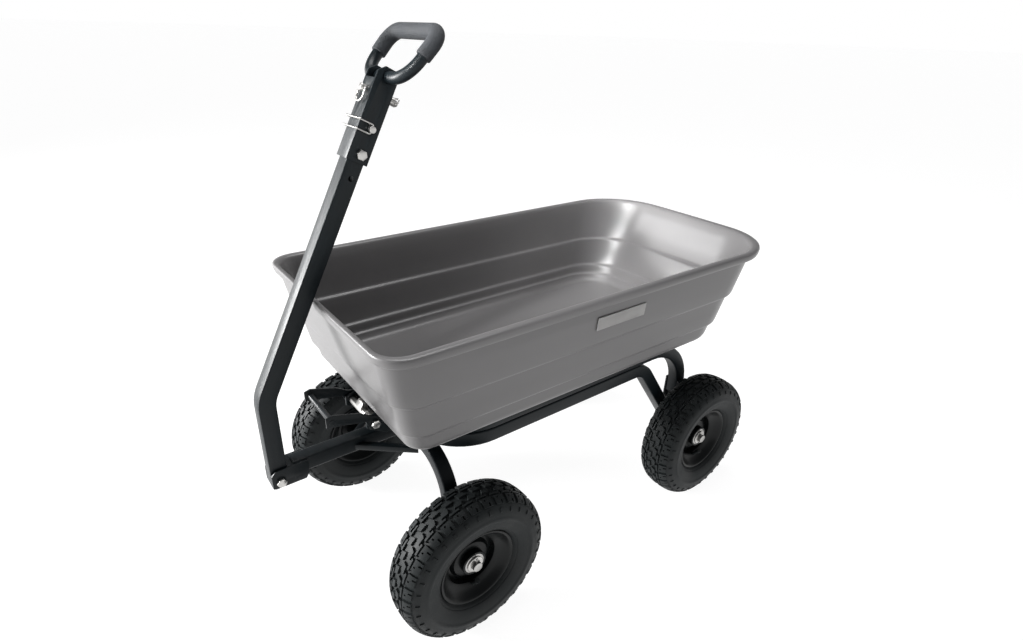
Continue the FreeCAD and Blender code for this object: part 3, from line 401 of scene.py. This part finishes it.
def spun(bm, profile, steps):
    """Turn an open profile of (along X, radius) round the X axis."""
    verts = [bm.verts.new((x, 0, r)) for x, r in profile]
    edges = [bm.edges.new(pair) for pair in zip(verts, verts[1:])]
    bmesh.ops.spin(bm, geom=verts + edges, cent=(0, 0, 0), axis=(1, 0, 0), angle=2 * math.pi,
                   steps=steps, use_merge=True, use_duplicate=False)


def wheel_matrix(wheel):
    """Place of a wheel in the frame."""
    x, y, turned = WHEELS[wheel]
    turn = Matrix.Rotation(math.pi if turned else 0, 4, "Z")
    return Matrix.Translation((x, y, AXLE_HEIGHT)) @ turn


def smooth_arc(centre, radius, start, end, steps):
    """Points on an arc between two angles in degrees."""
    out = []
    for k in range(steps + 1):
        a = math.radians(start + (end - start) * k / steps)
        out.append((centre[0] + radius * math.cos(a), centre[1] + radius * math.sin(a)))
    return out


# ---- tub ----------------------------------------------------------------------------------------

# Millimetres; slopes and tapers are per millimetre below the rim, shares per millimetre of inset.
TUB_RIM = 523.0
TUB_HALF = 214.6
TUB_FRONT = -374.0
TUB_REAR = 462.0
SIDE_SLOPE = 0.099
FRONT_SLOPE = 0.202
REAR_SLOPE = 0.427
RIM_TAPER = 2.2
RIM_BOW = 6.0
FRONT_LIP_SHARE = 0.5
FRONT_CORNER = 38.0
FRONT_CORNER_SHARE = 0.5
REAR_SWEEP = 122.0
REAR_SWEEP_TAPER = 0.17
REAR_SWEEP_SHARE = 0.6


def tub_ring(level, inset):
    """Points of the tub's outline at a level, moved in by inset, in metres."""
    drop = TUB_RIM - level
    half = TUB_HALF - SIDE_SLOPE * drop - inset
    front_inset = inset if inset > 0 else inset * FRONT_LIP_SHARE
    front = TUB_FRONT + FRONT_SLOPE * drop + front_inset
    rear = TUB_REAR - REAR_SLOPE * drop - inset
    corner = FRONT_CORNER - FRONT_CORNER_SHARE * inset
    sweep = REAR_SWEEP - REAR_SWEEP_TAPER * drop - REAR_SWEEP_SHARE * inset
    bow_radius = (half * half + RIM_BOW * RIM_BOW) / (2 * RIM_BOW)
    bow_centre = rear + RIM_BOW - bow_radius
    right = half + RIM_TAPER - sweep
    arc_y = bow_centre + math.sqrt((bow_radius - sweep) ** 2 - right ** 2)
    away = math.atan2(right, arc_y - bow_centre)
    front_x = half - RIM_TAPER - corner

    side = [(front_x * k / 8, front) for k in range(1, 8)]
    side += smooth_arc((front_x, front + corner), corner, -90, 0, 10)
    wall_start = Vector((front_x + corner, front + corner))
    wall_end = Vector((right + sweep, arc_y))
    side += [tuple(wall_start.lerp(wall_end, k / 24)) for k in range(1, 24)]
    side += smooth_arc((right, arc_y), sweep, 0, 90 - math.degrees(away), 18)
    for k in range(1, 8):
        turn = away * (1 - k / 8)
        side.append((bow_radius * math.sin(turn), bow_centre + bow_radius * math.cos(turn)))
    ring = [(0.0, front)] + side + [(0.0, bow_centre + bow_radius)]
    ring += [(-x, y) for x, y in reversed(side)]
    return [Vector((x * MM, y * MM, level * MM)) for x, y in ring]


def step_profile(level, inset, lower_to_upper):
    """Rounded step of one ledge: (level, inset) points from below to above."""
    shape = ((-4.5, 6.0), (-1.8, 5.7), (-0.5, 4.9), (0.1, 3.4), (0.9, 1.6), (2.2, 0.4), (5.0, 0.0))
    points = [(level + dz, inset + di) for dz, di in shape]
    return points if lower_to_upper else points[::-1]


def tub_profile():
    """(level, inset) points from the underside, over the rolled rim, to the floor inside."""
    under = [(339.5, 34), (339.5, 27), (340.0, 21.5), (341.6, 16.8), (344.6, 13.6), (349.0, 12.2),
             (354.0, 12.0)]
    outside = under + step_profile(373.5, 6, True) + [(402, 6)] + step_profile(432, 0, True)
    outside += [(460, 0), (490, 0), (507, 0), (515.5, -0.2), (517.6, -1.2), (518.3, -3.4), (518.0, -6.8),
                (516.6, -8.4), (512.5, -9.0), (510.0, -9.2), (509.1, -10.0), (509.2, -11.2), (510.6, -12.0),
                (514.5, -12.3), (518.5, -12.0), (521.3, -10.7), (522.7, -8.4), (523.0, -5.0), (522.9, -1.0),
                (522.2, 1.6), (520.4, 3.3), (517.0, 4.0)]
    inside = [(500, 4), (468, 4)] + step_profile(436, 4, False) + [(408, 10)] + step_profile(377.5, 10, False)
    inside += [(365, 16)] + step_profile(359, 16, False)
    inside += [(354, 22.2), (350, 23.4), (346.8, 26.2), (344.8, 30.6), (344.0, 36), (344.0, 44)]
    return outside + inside


class OBJECT_OT_cart_tub(bpy.types.Operator):
    """Mould the tub with its ledges and rolled rim"""
    bl_idname = "object.cart_tub"
    bl_label = "Tub"

    def execute(self, context):
        bm = bmesh.new()
        profile = tub_profile()
        ring = [bm.verts.new(p) for p in tub_ring(*profile[0])]
        edges = [bm.edges.new((ring[i], ring[(i + 1) % len(ring)])) for i in range(len(ring))]
        bmesh.ops.contextual_create(bm, geom=edges)
        order = ring
        for level, inset in profile[1:]:
            bmesh.ops.extrude_edge_only(bm, edges=edges)
            count = len(order)
            fresh = list(bm.verts)[-count:]
            grown = {}
            for old in order:
                for edge in old.link_edges:
                    other = edge.other_vert(old)
                    if other in fresh:
                        grown[old] = other
            order = [grown[old] for old in order]
            for vert, place in zip(order, tub_ring(level, inset)):
                vert.co = place
            edges = [bm.edges.get((order[i], order[(i + 1) % count])) for i in range(count)]
        bmesh.ops.contextual_create(bm, geom=edges)
        add_piece("tub_moulding", to_mesh(bm, "tub_moulding"), "tub", smooth_angle=50)
        return {"FINISHED"}


# ---- wheels -------------------------------------------------------------------------------------

# Millimetres, except the squareness and the slot depth, which is a share of a block's height.
CROWN = 128.0
TREAD_BASE = 96.0
TREAD_RISE = 34.0
TREAD_HALF = 41.0
TREAD_SQUARENESS = 2.6
BLOCK_TAPER = 0.8
BLOCK_ROOT = 1.4
TALLEST_BLOCK = 3.6
SLOT_DEPTH = 0.55
SHOULDER_START = 22
SHOULDER_SPAN = 18


def tyre_profile():
    """Half of the carcass from the bead to the crown, in millimetres."""
    return [(13.6, 56.4), (17.0, 59.6), (20.4, 62.4), (23.6, 66.0), (25.0, 68.0), (27.4, 69.6), (30.2, 71.4),
            (31.0, 73.0), (31.9, 73.3), (32.9, 74.6), (35.0, 78.6), (37.0, 84.0), (38.4, 90.0), (39.0, 93.5),
            (39.7, 94.4), (39.9, 96.0), (39.8, 99.0), (39.2, 100.2), (38.9, 104.0), (37.8, 109.0),
            (35.6, 113.8), (32.2, 118.0), (27.2, 121.8), (20.0, 124.4), (10.0, 125.9), (0.0, 126.4)]


def tread_top(x):
    """Radius of the tread's outer face at a distance across the tyre, in millimetres."""
    share = 1.0 - abs(x / TREAD_HALF) ** TREAD_SQUARENESS
    return TREAD_BASE + TREAD_RISE * share ** (1 / TREAD_SQUARENESS)


def tread_block(width, length, slots):
    """Pattern of one tread block: tapered slab with pressed slots; its top is at Z = 1."""
    bm = bmesh.new()
    bmesh.ops.create_grid(bm, x_segments=5, y_segments=7 if slots else 4, size=0.5)
    top = bmesh.ops.extrude_face_region(bm, geom=list(bm.faces))["geom"]
    bmesh.ops.translate(bm, vec=(0, 0, 1), verts=[g for g in top if isinstance(g, bmesh.types.BMVert)])
    bm.normal_update()
    for face in [f for f in bm.faces if f.normal.z > 0.5]:
        middle = face.calc_center_median()
        if any(abs(middle.x - x) < 0.11 and abs(middle.y - y) < 0.08 for x, y in slots):
            bmesh.ops.inset_individual(bm, faces=[face], thickness=0.02, depth=0.0)
            bmesh.ops.translate(bm, vec=(0, 0, -SLOT_DEPTH), verts=face.verts)
    bmesh.ops.scale(bm, vec=(width, length, 1), verts=bm.verts)
    for vert in [v for v in bm.verts if v.co.z > 0.9]:
        if width / 2 - abs(vert.co.x) < 0.01:
            vert.co.x -= math.copysign(BLOCK_TAPER, vert.co.x)
        if length / 2 - abs(vert.co.y) < 0.01:
            vert.co.y -= math.copysign(BLOCK_TAPER, vert.co.y)
    mesh = bpy.data.meshes.new("tread_block")
    bm.to_mesh(mesh)
    bm.free()
    return mesh


def tread_rows(pitch):
    """(centre across, width, length, height, shift, slant, slots) for each row of blocks."""
    slots = ((-0.2, 0.143), (0.2, -0.143), (0.4, -0.143))
    rows = []
    for side, shift in ((1, 0.0), (-1, 0.5)):
        mirrored = [(side * x, y) for x, y in slots]
        rows.append((side * 5.9, 9.0, pitch * 0.58, 3.4, shift, side * 0.42, ()))
        rows.append((side * 14.1, 4.6, pitch * 0.80, 3.3, shift + 0.5, side * 0.3, ()))
        rows.append((side * 25.4, 14.6, pitch * 0.80, TALLEST_BLOCK, shift + 0.35, 0.0, mirrored))
        rows.append((side * 37.2, 4.6, pitch * 0.26, 2.2, shift + 0.35, 0.0, ()))
    return rows


def tyre_mesh():
    """Carcass with its tread blocks, round the X axis."""
    bm = bmesh.new()
    half = tyre_profile()
    whole = half + [(-x, r) for x, r in reversed(half[:-1])]
    spun(bm, [(x * MM, r * MM) for x, r in whole + [half[0]]], 120)
    pitches = sizes().tread_pitches
    pitch = 2 * math.pi * CROWN / pitches
    for across, width, length, height, shift, slant, slots in tread_rows(pitch):
        block = tread_block(width, length, slots)
        for k in range(pitches):
            start = len(bm.verts)
            bm.from_mesh(block)
            bm.verts.ensure_lookup_table()
            for vert in bm.verts[start:]:
                x = across + vert.co.x
                depth = (height + BLOCK_ROOT) * (1 - vert.co.z)
                radius = tread_top(x) + height - TALLEST_BLOCK - depth
                angle = ((k + shift) * pitch + vert.co.y + slant * vert.co.x) / CROWN
                x -= math.copysign(depth * max(0, abs(x) - SHOULDER_START) / SHOULDER_SPAN, x)
                vert.co = (x * MM, -radius * MM * math.sin(angle), radius * MM * math.cos(angle))
        bpy.data.meshes.remove(block)
    bmesh.ops.recalc_face_normals(bm, faces=bm.faces)
    mesh = bpy.data.meshes.new("tyre")
    bm.to_mesh(mesh)
    bm.free()
    return mesh


class OBJECT_OT_cart_tyres(bpy.types.Operator):
    """Make the four block-tread tyres"""
    bl_idname = "object.cart_tyres"
    bl_label = "Tyres"

    def execute(self, context):
        pattern = tyre_mesh()
        for wheel in WHEELS:
            mesh = pattern.copy()
            mesh.transform(wheel_matrix(wheel))
            add_piece("tread_tyre_" + wheel, mesh, "tyre_" + wheel)
        bpy.data.meshes.remove(pattern)
        return {"FINISHED"}


def rim_profile():
    """Closed profile of the pressed barrel with its rolled lips, in millimetres along X and radius."""
    face = [(25.2, 67.0), (26.6, 66.6), (27.0, 65.4), (26.6, 63.8), (25.2, 62.2), (22.6, 60.4), (19.0, 57.6),
            (15.6, 54.4), (13.0, 51.0), (11.2, 47.2), (8.4, 43.6)]
    back = [(24.4, 66.4), (24.4, 64.8), (23.4, 63.4), (21.2, 61.8), (17.8, 59.2), (14.4, 56.0), (11.8, 52.6),
            (10.0, 49.0), (7.2, 46.0)]
    near = face + [(-x, r) for x, r in reversed(face)]
    far = [(-x, r) for x, r in back] + back[::-1]
    return near + far + [face[0]]


def disc_profile():
    """Closed profile of the dished disc between the barrel and the hub."""
    face = [(-2.6, 44.2), (-2.0, 41.0), (-1.4, 36.0), (1.2, 33.4), (4.6, 31.0), (5.6, 27.6), (5.8, 20.8)]
    back = [(x - 2.5, r) for x, r in reversed(face)]
    return face + back + [face[0]]


def hub_profile():
    """Closed profile of the hub tube."""
    return [(-26.0, 17.55), (-26.0, 20.2), (-25.2, 21.0), (15.2, 21.0), (16.0, 20.2), (16.0, 17.55),
            (-26.0, 17.55)]


class OBJECT_OT_cart_rims(bpy.types.Operator):
    """Press the four steel rims with their discs and hubs"""
    bl_idname = "object.cart_rims"
    bl_label = "Rims"

    def execute(self, context):
        bm = bmesh.new()
        for profile in (rim_profile(), disc_profile(), hub_profile()):
            spun(bm, [(x * MM, r * MM) for x, r in profile], 96)
        pattern = to_mesh(bm, "rim")
        for wheel in WHEELS:
            mesh = pattern.copy()
            mesh.transform(wheel_matrix(wheel))
            add_piece("pressed_rim_" + wheel, mesh, "rim_" + wheel)
        bpy.data.meshes.remove(pattern)
        return {"FINISHED"}


# ---- tubes --------------------------------------------------------------------------------------

LEG_SLOPE = math.radians(54)
LEG_BEND = 0.045
BOSS_RADIUS = 0.015
BOSS_LENGTH = 0.0249
BOSS_ROUNDING = 0.0008
TUB_LEG_FOOT = 0.205
TUB_LEG_BEND = 0.1
ARCH_HALF = 0.157
ARCH_FOOT = 0.115
ARCH_TOP = 0.275
ARCH_BEND = 0.075
ARCH_TUBE_WIDTH = 0.020
ARCH_TUBE_HEIGHT = 0.024
TONGUE_FRONT = -0.445
TONGUE_BACK = -0.266
TONGUE_Z = 0.263
CHASSIS_TIE_Y = 0.140
TUB_TIE_Y = 0.180
TIE_END = RAIL_X - SQUARE_TUBE / 2


def axle_boss(bm):
    """Bosses at the lower ends of the chassis legs."""
    for x in (RAIL_X, -RAIL_X):
        place = Matrix.Translation((x, REAR_AXLE_Y, AXLE_HEIGHT)) @ Matrix.Rotation(math.pi / 2, 4, "Y")
        made = bmesh.ops.create_cone(bm, cap_ends=True, segments=48, radius1=BOSS_RADIUS, radius2=BOSS_RADIUS,
                                     depth=BOSS_LENGTH, matrix=place)
        rims = [e for e in {e for v in made["verts"] for e in v.link_edges}
                if any(len(f.verts) > 4 for f in e.link_faces)]
        bmesh.ops.bevel(bm, geom=rims, offset=BOSS_ROUNDING, segments=2, profile=0.5, affect="EDGES",
                        material=-1)


class OBJECT_OT_cart_tubes(bpy.types.Operator):
    """Bend the square tubes of the chassis, tub frame, front axle and tongue"""
    bl_idname = "object.cart_tubes"
    bl_label = "Square tubes"

    def execute(self, context):
        knee = REAR_AXLE_Y - (CHASSIS_Z - AXLE_HEIGHT) / math.tan(LEG_SLOPE)
        leg = Vector((0, REAR_AXLE_Y - knee, AXLE_HEIGHT - CHASSIS_Z)).normalized()
        side = [(RAIL_X, REAR_AXLE_Y, AXLE_HEIGHT), (RAIL_X, knee, CHASSIS_Z), (RAIL_X, HOOP_Y, CHASSIS_Z)]
        path = side + [(-x, y, z) for x, y, z in reversed(side)]
        bends = [LEG_BEND, HOOP_BEND, HOOP_BEND, LEG_BEND]
        square_tube_piece("bent_chassis_tube", "chassis_frame", path, bends,
                          (1, 0, 0), leg.cross(Vector((1, 0, 0))), extra=axle_boss)

        side = [(RAIL_X, REAR_AXLE_Y, TUB_LEG_FOOT), (RAIL_X, REAR_AXLE_Y, TUB_FRAME_Z),
                (RAIL_X, HOOP_Y, TUB_FRAME_Z)]
        path = side + [(-x, y, z) for x, y, z in reversed(side)]
        bends = [TUB_LEG_BEND, HOOP_BEND, HOOP_BEND, TUB_LEG_BEND]
        square_tube_piece("bent_tub_tube", "tub_frame", path, bends, (1, 0, 0), (0, 1, 0))

        path = [(-ARCH_HALF, FRONT_AXLE_Y, ARCH_FOOT), (-ARCH_HALF, FRONT_AXLE_Y, ARCH_TOP),
                (ARCH_HALF, FRONT_AXLE_Y, ARCH_TOP), (ARCH_HALF, FRONT_AXLE_Y, ARCH_FOOT)]
        square_tube_piece("bent_axle_arch", "front_axle_arch", path, [ARCH_BEND],
                          (1, 0, 0), (0, 1, 0), width=ARCH_TUBE_WIDTH, height=ARCH_TUBE_HEIGHT)

        ends = [(0, TONGUE_FRONT, TONGUE_Z), (0, TONGUE_BACK, TONGUE_Z)]
        square_tube_piece("tongue_box", "tongue_tube", ends, [], (1, 0, 0), (0, 0, 1))
        for name, node, y, z in (("chassis_tie", "chassis_cross_tube", CHASSIS_TIE_Y, CHASSIS_Z),
                                 ("tub_tie", "tub_cross_tube", TUB_TIE_Y, TUB_FRAME_Z)):
            ends = [(-TIE_END, y, z), (TIE_END, y, z)]
            square_tube_piece(name, node, ends, [], (0, 1, 0), (0, 0, 1))
        return {"FINISHED"}


# ---- grip ---------------------------------------------------------------------------------------

# The first two place the loop's start in the handle's own frame, in millimetres.
GRIP_BACK = 1.5
GRIP_ALONG = 480
GRIP_HEIGHT = 0.076
GRIP_FOOT = 0.060
GRIP_SHOULDER = 0.066
GRIP_FOOT_BEND = 0.034
GRIP_TOP_BEND = 0.020
GRIP_TUBE_RADIUS = 0.008
# Share of the loop's sides that is left bare below the sleeve.
SLEEVE_START = 0.47
SLEEVE_ROUNDING = 0.0018


def handle_point(x, back, along):
    """Point in the upper handle's own frame, in millimetres."""
    y = back * math.cos(HANDLE_LEAN) + along * math.sin(HANDLE_LEAN)
    z = along * math.cos(HANDLE_LEAN) - back * math.sin(HANDLE_LEAN)
    return Vector((x * MM, HANDLE_PIVOT_Y + y * MM, HANDLE_BEND_Z + z * MM))


def grip_points():
    """Corners of the grip loop, from its lower bar round."""
    start = handle_point(0, GRIP_BACK, GRIP_ALONG)
    up = Vector((0, math.sin(GRIP_LEAN), math.cos(GRIP_LEAN))) * GRIP_HEIGHT
    foot = Vector((GRIP_FOOT, 0, 0))
    shoulder = Vector((GRIP_SHOULDER, 0, 0))
    return [start + foot, start + up + shoulder, start + up - shoulder, start - foot]


class OBJECT_OT_cart_grip(bpy.types.Operator):
    """Bend the D grip and sleeve it with foam"""
    bl_idname = "object.cart_grip"
    bl_label = "Grip"

    def execute(self, context):
        corners = grip_points()
        bm = bmesh.new()
        bends = [GRIP_FOOT_BEND, GRIP_TOP_BEND, GRIP_TOP_BEND, GRIP_FOOT_BEND]
        stations = bent_stations(corners, bends, closed=True)
        normal = Vector((0, math.cos(GRIP_LEAN), -math.sin(GRIP_LEAN)))
        across = stations[0][1].cross(normal)
        sweep_section(bm, round_section(across, normal, GRIP_TUBE_RADIUS, 24), stations, closed=True)
        add_piece("bent_grip_tube", to_mesh(bm, "bent_grip_tube"), "grip_frame")

        sleeve = [corners[0].lerp(corners[1], SLEEVE_START), corners[1],
                  corners[2], corners[3].lerp(corners[2], SLEEVE_START)]
        stations = bent_stations(sleeve, [GRIP_TOP_BEND])
        across = stations[0][1].cross(normal)
        bm = bmesh.new()
        radius = sizes().foam_radius
        first, last = sweep_section(bm, round_section(across, normal, radius, 28), stations)
        for edges in (first, last):
            face = bmesh.ops.contextual_create(bm, geom=edges)["faces"][0]
            bmesh.ops.bevel(bm, geom=list(face.edges), offset=SLEEVE_ROUNDING, segments=3, profile=0.5,
                            affect="EDGES", material=-1)
        piece = add_piece("foam_sleeve", to_mesh(bm, "foam_sleeve"), "foam_grip", smooth_angle=60)
        return {"FINISHED"}


# ---- hardware -----------------------------------------------------------------------------------

ROUND_PIECES = ("lock_bail", "hitch_ring", "hair_clip", "latch_spring")
SHORTEST_EDGE = 0.0004
SHORTEST_HANDLE_EDGE = 0.0026


def softened_copy(node, width, shortest):
    """Merged copy of a CAD node with its longer sharp edges bevelled."""
    bm = bmesh.new()
    bm.from_mesh(frame["nodes"][node].data)
    bmesh.ops.remove_doubles(bm, verts=bm.verts, dist=0.00002)
    bmesh.ops.dissolve_limit(bm, angle_limit=math.radians(0.6), verts=bm.verts, edges=bm.edges)
    sharp = [e for e in bm.edges if len(e.link_faces) == 2
             and e.calc_face_angle(0) > math.radians(38) and e.calc_length() > shortest]
    if sharp and width > 0:
        bmesh.ops.bevel(bm, geom=sharp, offset=width, segments=2, profile=0.5, affect="EDGES",
                        material=-1, clamp_overlap=True)
    mesh = bpy.data.meshes.new(node + "_soft")
    bm.to_mesh(mesh)
    bm.free()
    return mesh


class OBJECT_OT_cart_hardware(bpy.types.Operator):
    """Soften the edges of the plates, bolts, pins and wires"""
    bl_idname = "object.cart_hardware"
    bl_label = "Plates and hardware"

    def execute(self, context):
        for node in node_slots():
            if node in REPLACED:
                continue
            width = 0.0 if node in ROUND_PIECES else sizes().edge
            shortest = SHORTEST_EDGE
            if node == "handle_tube":
                width = sizes().tube_corner
                shortest = SHORTEST_HANDLE_EDGE
            add_piece(node + "_finished", softened_copy(node, width, shortest), node)
        return {"FINISHED"}


# ---- stage --------------------------------------------------------------------------------------

# The camera's angles are in radians and its lens in millimetres.
CAMERA_PLACE = Vector((0.7804, -0.6329, 0.8801))
CAMERA_YAW = 0.905
CAMERA_PITCH = 0.453
CAMERA_ROLL = 0.034
CAMERA_LENS = 20.97
FLOOR_SIZE = 150
FLOOR_GLOW = 0.93
CART_MIDDLE = (0, 0, 0.4)
TUB_CORNER = (-0.12, 0.42, 0.48)
# Name, place, target, size, power and spread in degrees.
STUDIO_LIGHTS = (
    ("front_softbox", (-1.8, -2.8, 1.05), CART_MIDDLE, (1.2, 1.2), 290, 180),
    ("left_softbox", (-2.4, -0.9, 0.7), CART_MIDDLE, (1.4, 1.4), 9, 180),
    ("left_strip", (0.30, -1.20, 1.50), TUB_CORNER, (0.09, 0.7), 0.72, 15),
    ("right_strip", (0.62, -0.95, 1.60), TUB_CORNER, (0.09, 0.7), 0.42, 15),
    ("top_softbox", (-0.2, 0.1, 2.4), CART_MIDDLE, (1.2, 1.2), 34, 180),
)


def add_light(name, place, target, size, power, spread):
    """Area light of a width and a height, aimed at a point."""
    data = bpy.data.lights.new(name, "AREA")
    data.shape = "RECTANGLE"
    data.size = size[0]
    data.size_y = size[1]
    data.energy = power
    data.spread = math.radians(spread)
    light = bpy.data.objects.new(name, data)
    light.location = place
    light.rotation_euler = (Vector(target) - Vector(place)).to_track_quat("-Z", "Y").to_euler()
    bpy.context.scene.collection.objects.link(light)


def studio_world():
    """White at the horizon, darker overhead."""
    world = bpy.data.worlds.new("studio_world")
    world.use_nodes = True
    nodes = world.node_tree.nodes
    links = world.node_tree.links
    place = nodes.new("ShaderNodeTexCoord")
    split = nodes.new("ShaderNodeSeparateXYZ")
    ramp = nodes.new("ShaderNodeValToRGB")
    ramp.color_ramp.elements[0].position = 0.06
    ramp.color_ramp.elements[0].color = (1, 1, 1, 1)
    ramp.color_ramp.elements[1].position = 0.75
    ramp.color_ramp.elements[1].color = (0.16, 0.16, 0.165, 1)
    middle = ramp.color_ramp.elements.new(0.16)
    middle.color = (0.3, 0.3, 0.305, 1)
    links.new(place.outputs["Generated"], split.inputs["Vector"])
    links.new(split.outputs["Z"], ramp.inputs["Fac"])
    links.new(ramp.outputs["Color"], nodes["Background"].inputs["Color"])
    return world


def add_camera():
    """Camera at the viewing angle, without shift or depth of field."""
    back = Vector((math.sin(CAMERA_YAW) * math.cos(CAMERA_PITCH),
                   -math.cos(CAMERA_YAW) * math.cos(CAMERA_PITCH), math.sin(CAMERA_PITCH)))
    level_right = Vector((0, 0, 1)).cross(back).normalized()
    level_up = back.cross(level_right)
    right = level_right * math.cos(CAMERA_ROLL) + level_up * math.sin(CAMERA_ROLL)
    up = level_up * math.cos(CAMERA_ROLL) - level_right * math.sin(CAMERA_ROLL)
    matrix = Matrix((right, up, back)).transposed().to_4x4()
    matrix.translation = CAMERA_PLACE
    data = bpy.data.cameras.new("cart_camera")
    data.sensor_width = 36.0
    data.lens = CAMERA_LENS
    data.clip_start = 0.01
    camera = bpy.data.objects.new("cart_camera", data)
    camera.matrix_world = matrix
    bpy.context.scene.collection.objects.link(camera)
    bpy.context.scene.camera = camera


def studio_floor():
    """Wide plain floor with its own glow."""
    bm = bmesh.new()
    bmesh.ops.create_grid(bm, x_segments=1, y_segments=1, size=FLOOR_SIZE)
    mesh = bpy.data.meshes.new("studio_floor")
    bm.to_mesh(mesh)
    bm.free()
    floor = bpy.data.objects.new("studio_floor", mesh)
    white = make_finish("studio_white", (0.2, 0.2, 0.2), (0.21, 0.21, 0.21), patch=2.0, grain=60.0,
                        rough=(0.85, 0.9), bump=(0.05, 0.0005), specular=0.1)
    shader = white.node_tree.nodes["Principled BSDF"]
    shader.inputs["Emission Color"].default_value = (1, 1, 1, 1)
    shader.inputs["Emission Strength"].default_value = FLOOR_GLOW
    mesh.materials.append(white)
    bpy.context.scene.collection.objects.link(floor)


class OBJECT_OT_cart_stage(bpy.types.Operator):
    """Set the glowing floor, the soft lights and the camera"""
    bl_idname = "object.cart_stage"
    bl_label = "Stage"

    def execute(self, context):
        studio_floor()
        context.scene.world = studio_world()
        for row in STUDIO_LIGHTS:
            add_light(*row)
        add_camera()
        context.scene.view_settings.view_transform = "Standard"
        return {"FINISHED"}


# ---- panel and registration ---------------------------------------------------------------------

class VIEW3D_PT_cart(bpy.types.Panel):
    """Buttons that build the cart's pieces"""
    bl_idname = "VIEW3D_PT_cart"
    bl_label = "Garden cart"
    bl_space_type = "VIEW_3D"
    bl_region_type = "UI"
    bl_category = "Cart"

    def draw(self, context):
        for operator in OPERATORS:
            self.layout.operator(operator.bl_idname)
        for settings in (context.scene.cart_sizes, context.scene.cart_colours):
            for key in settings.bl_rna.properties.keys():
                if key not in ("rna_type", "name"):
                    self.layout.prop(settings, key)


OPERATORS = (
    OBJECT_OT_cart_tub,
    OBJECT_OT_cart_tyres,
    OBJECT_OT_cart_rims,
    OBJECT_OT_cart_tubes,
    OBJECT_OT_cart_grip,
    OBJECT_OT_cart_hardware,
    OBJECT_OT_cart_stage,
)
CLASSES = (CartSizes, CartColours) + OPERATORS + (VIEW3D_PT_cart,)


def register():
    """Add the operators, the panel and the scene settings."""
    for item in CLASSES:
        bpy.utils.register_class(item)
    bpy.types.Scene.cart_sizes = bpy.props.PointerProperty(type=CartSizes)
    bpy.types.Scene.cart_colours = bpy.props.PointerProperty(type=CartColours)


def unregister():
    """Take them away again."""
    del bpy.types.Scene.cart_sizes
    del bpy.types.Scene.cart_colours
    for item in reversed(CLASSES):
        bpy.utils.unregister_class(item)


def main():
    """Build every piece and the stage."""
    register()
    bpy.ops.object.cart_tub()
    bpy.ops.object.cart_tyres()
    bpy.ops.object.cart_rims()
    bpy.ops.object.cart_tubes()
    bpy.ops.object.cart_grip()
    bpy.ops.object.cart_hardware()
    bpy.ops.object.cart_stage()


if __name__ == "__main__":
    main()
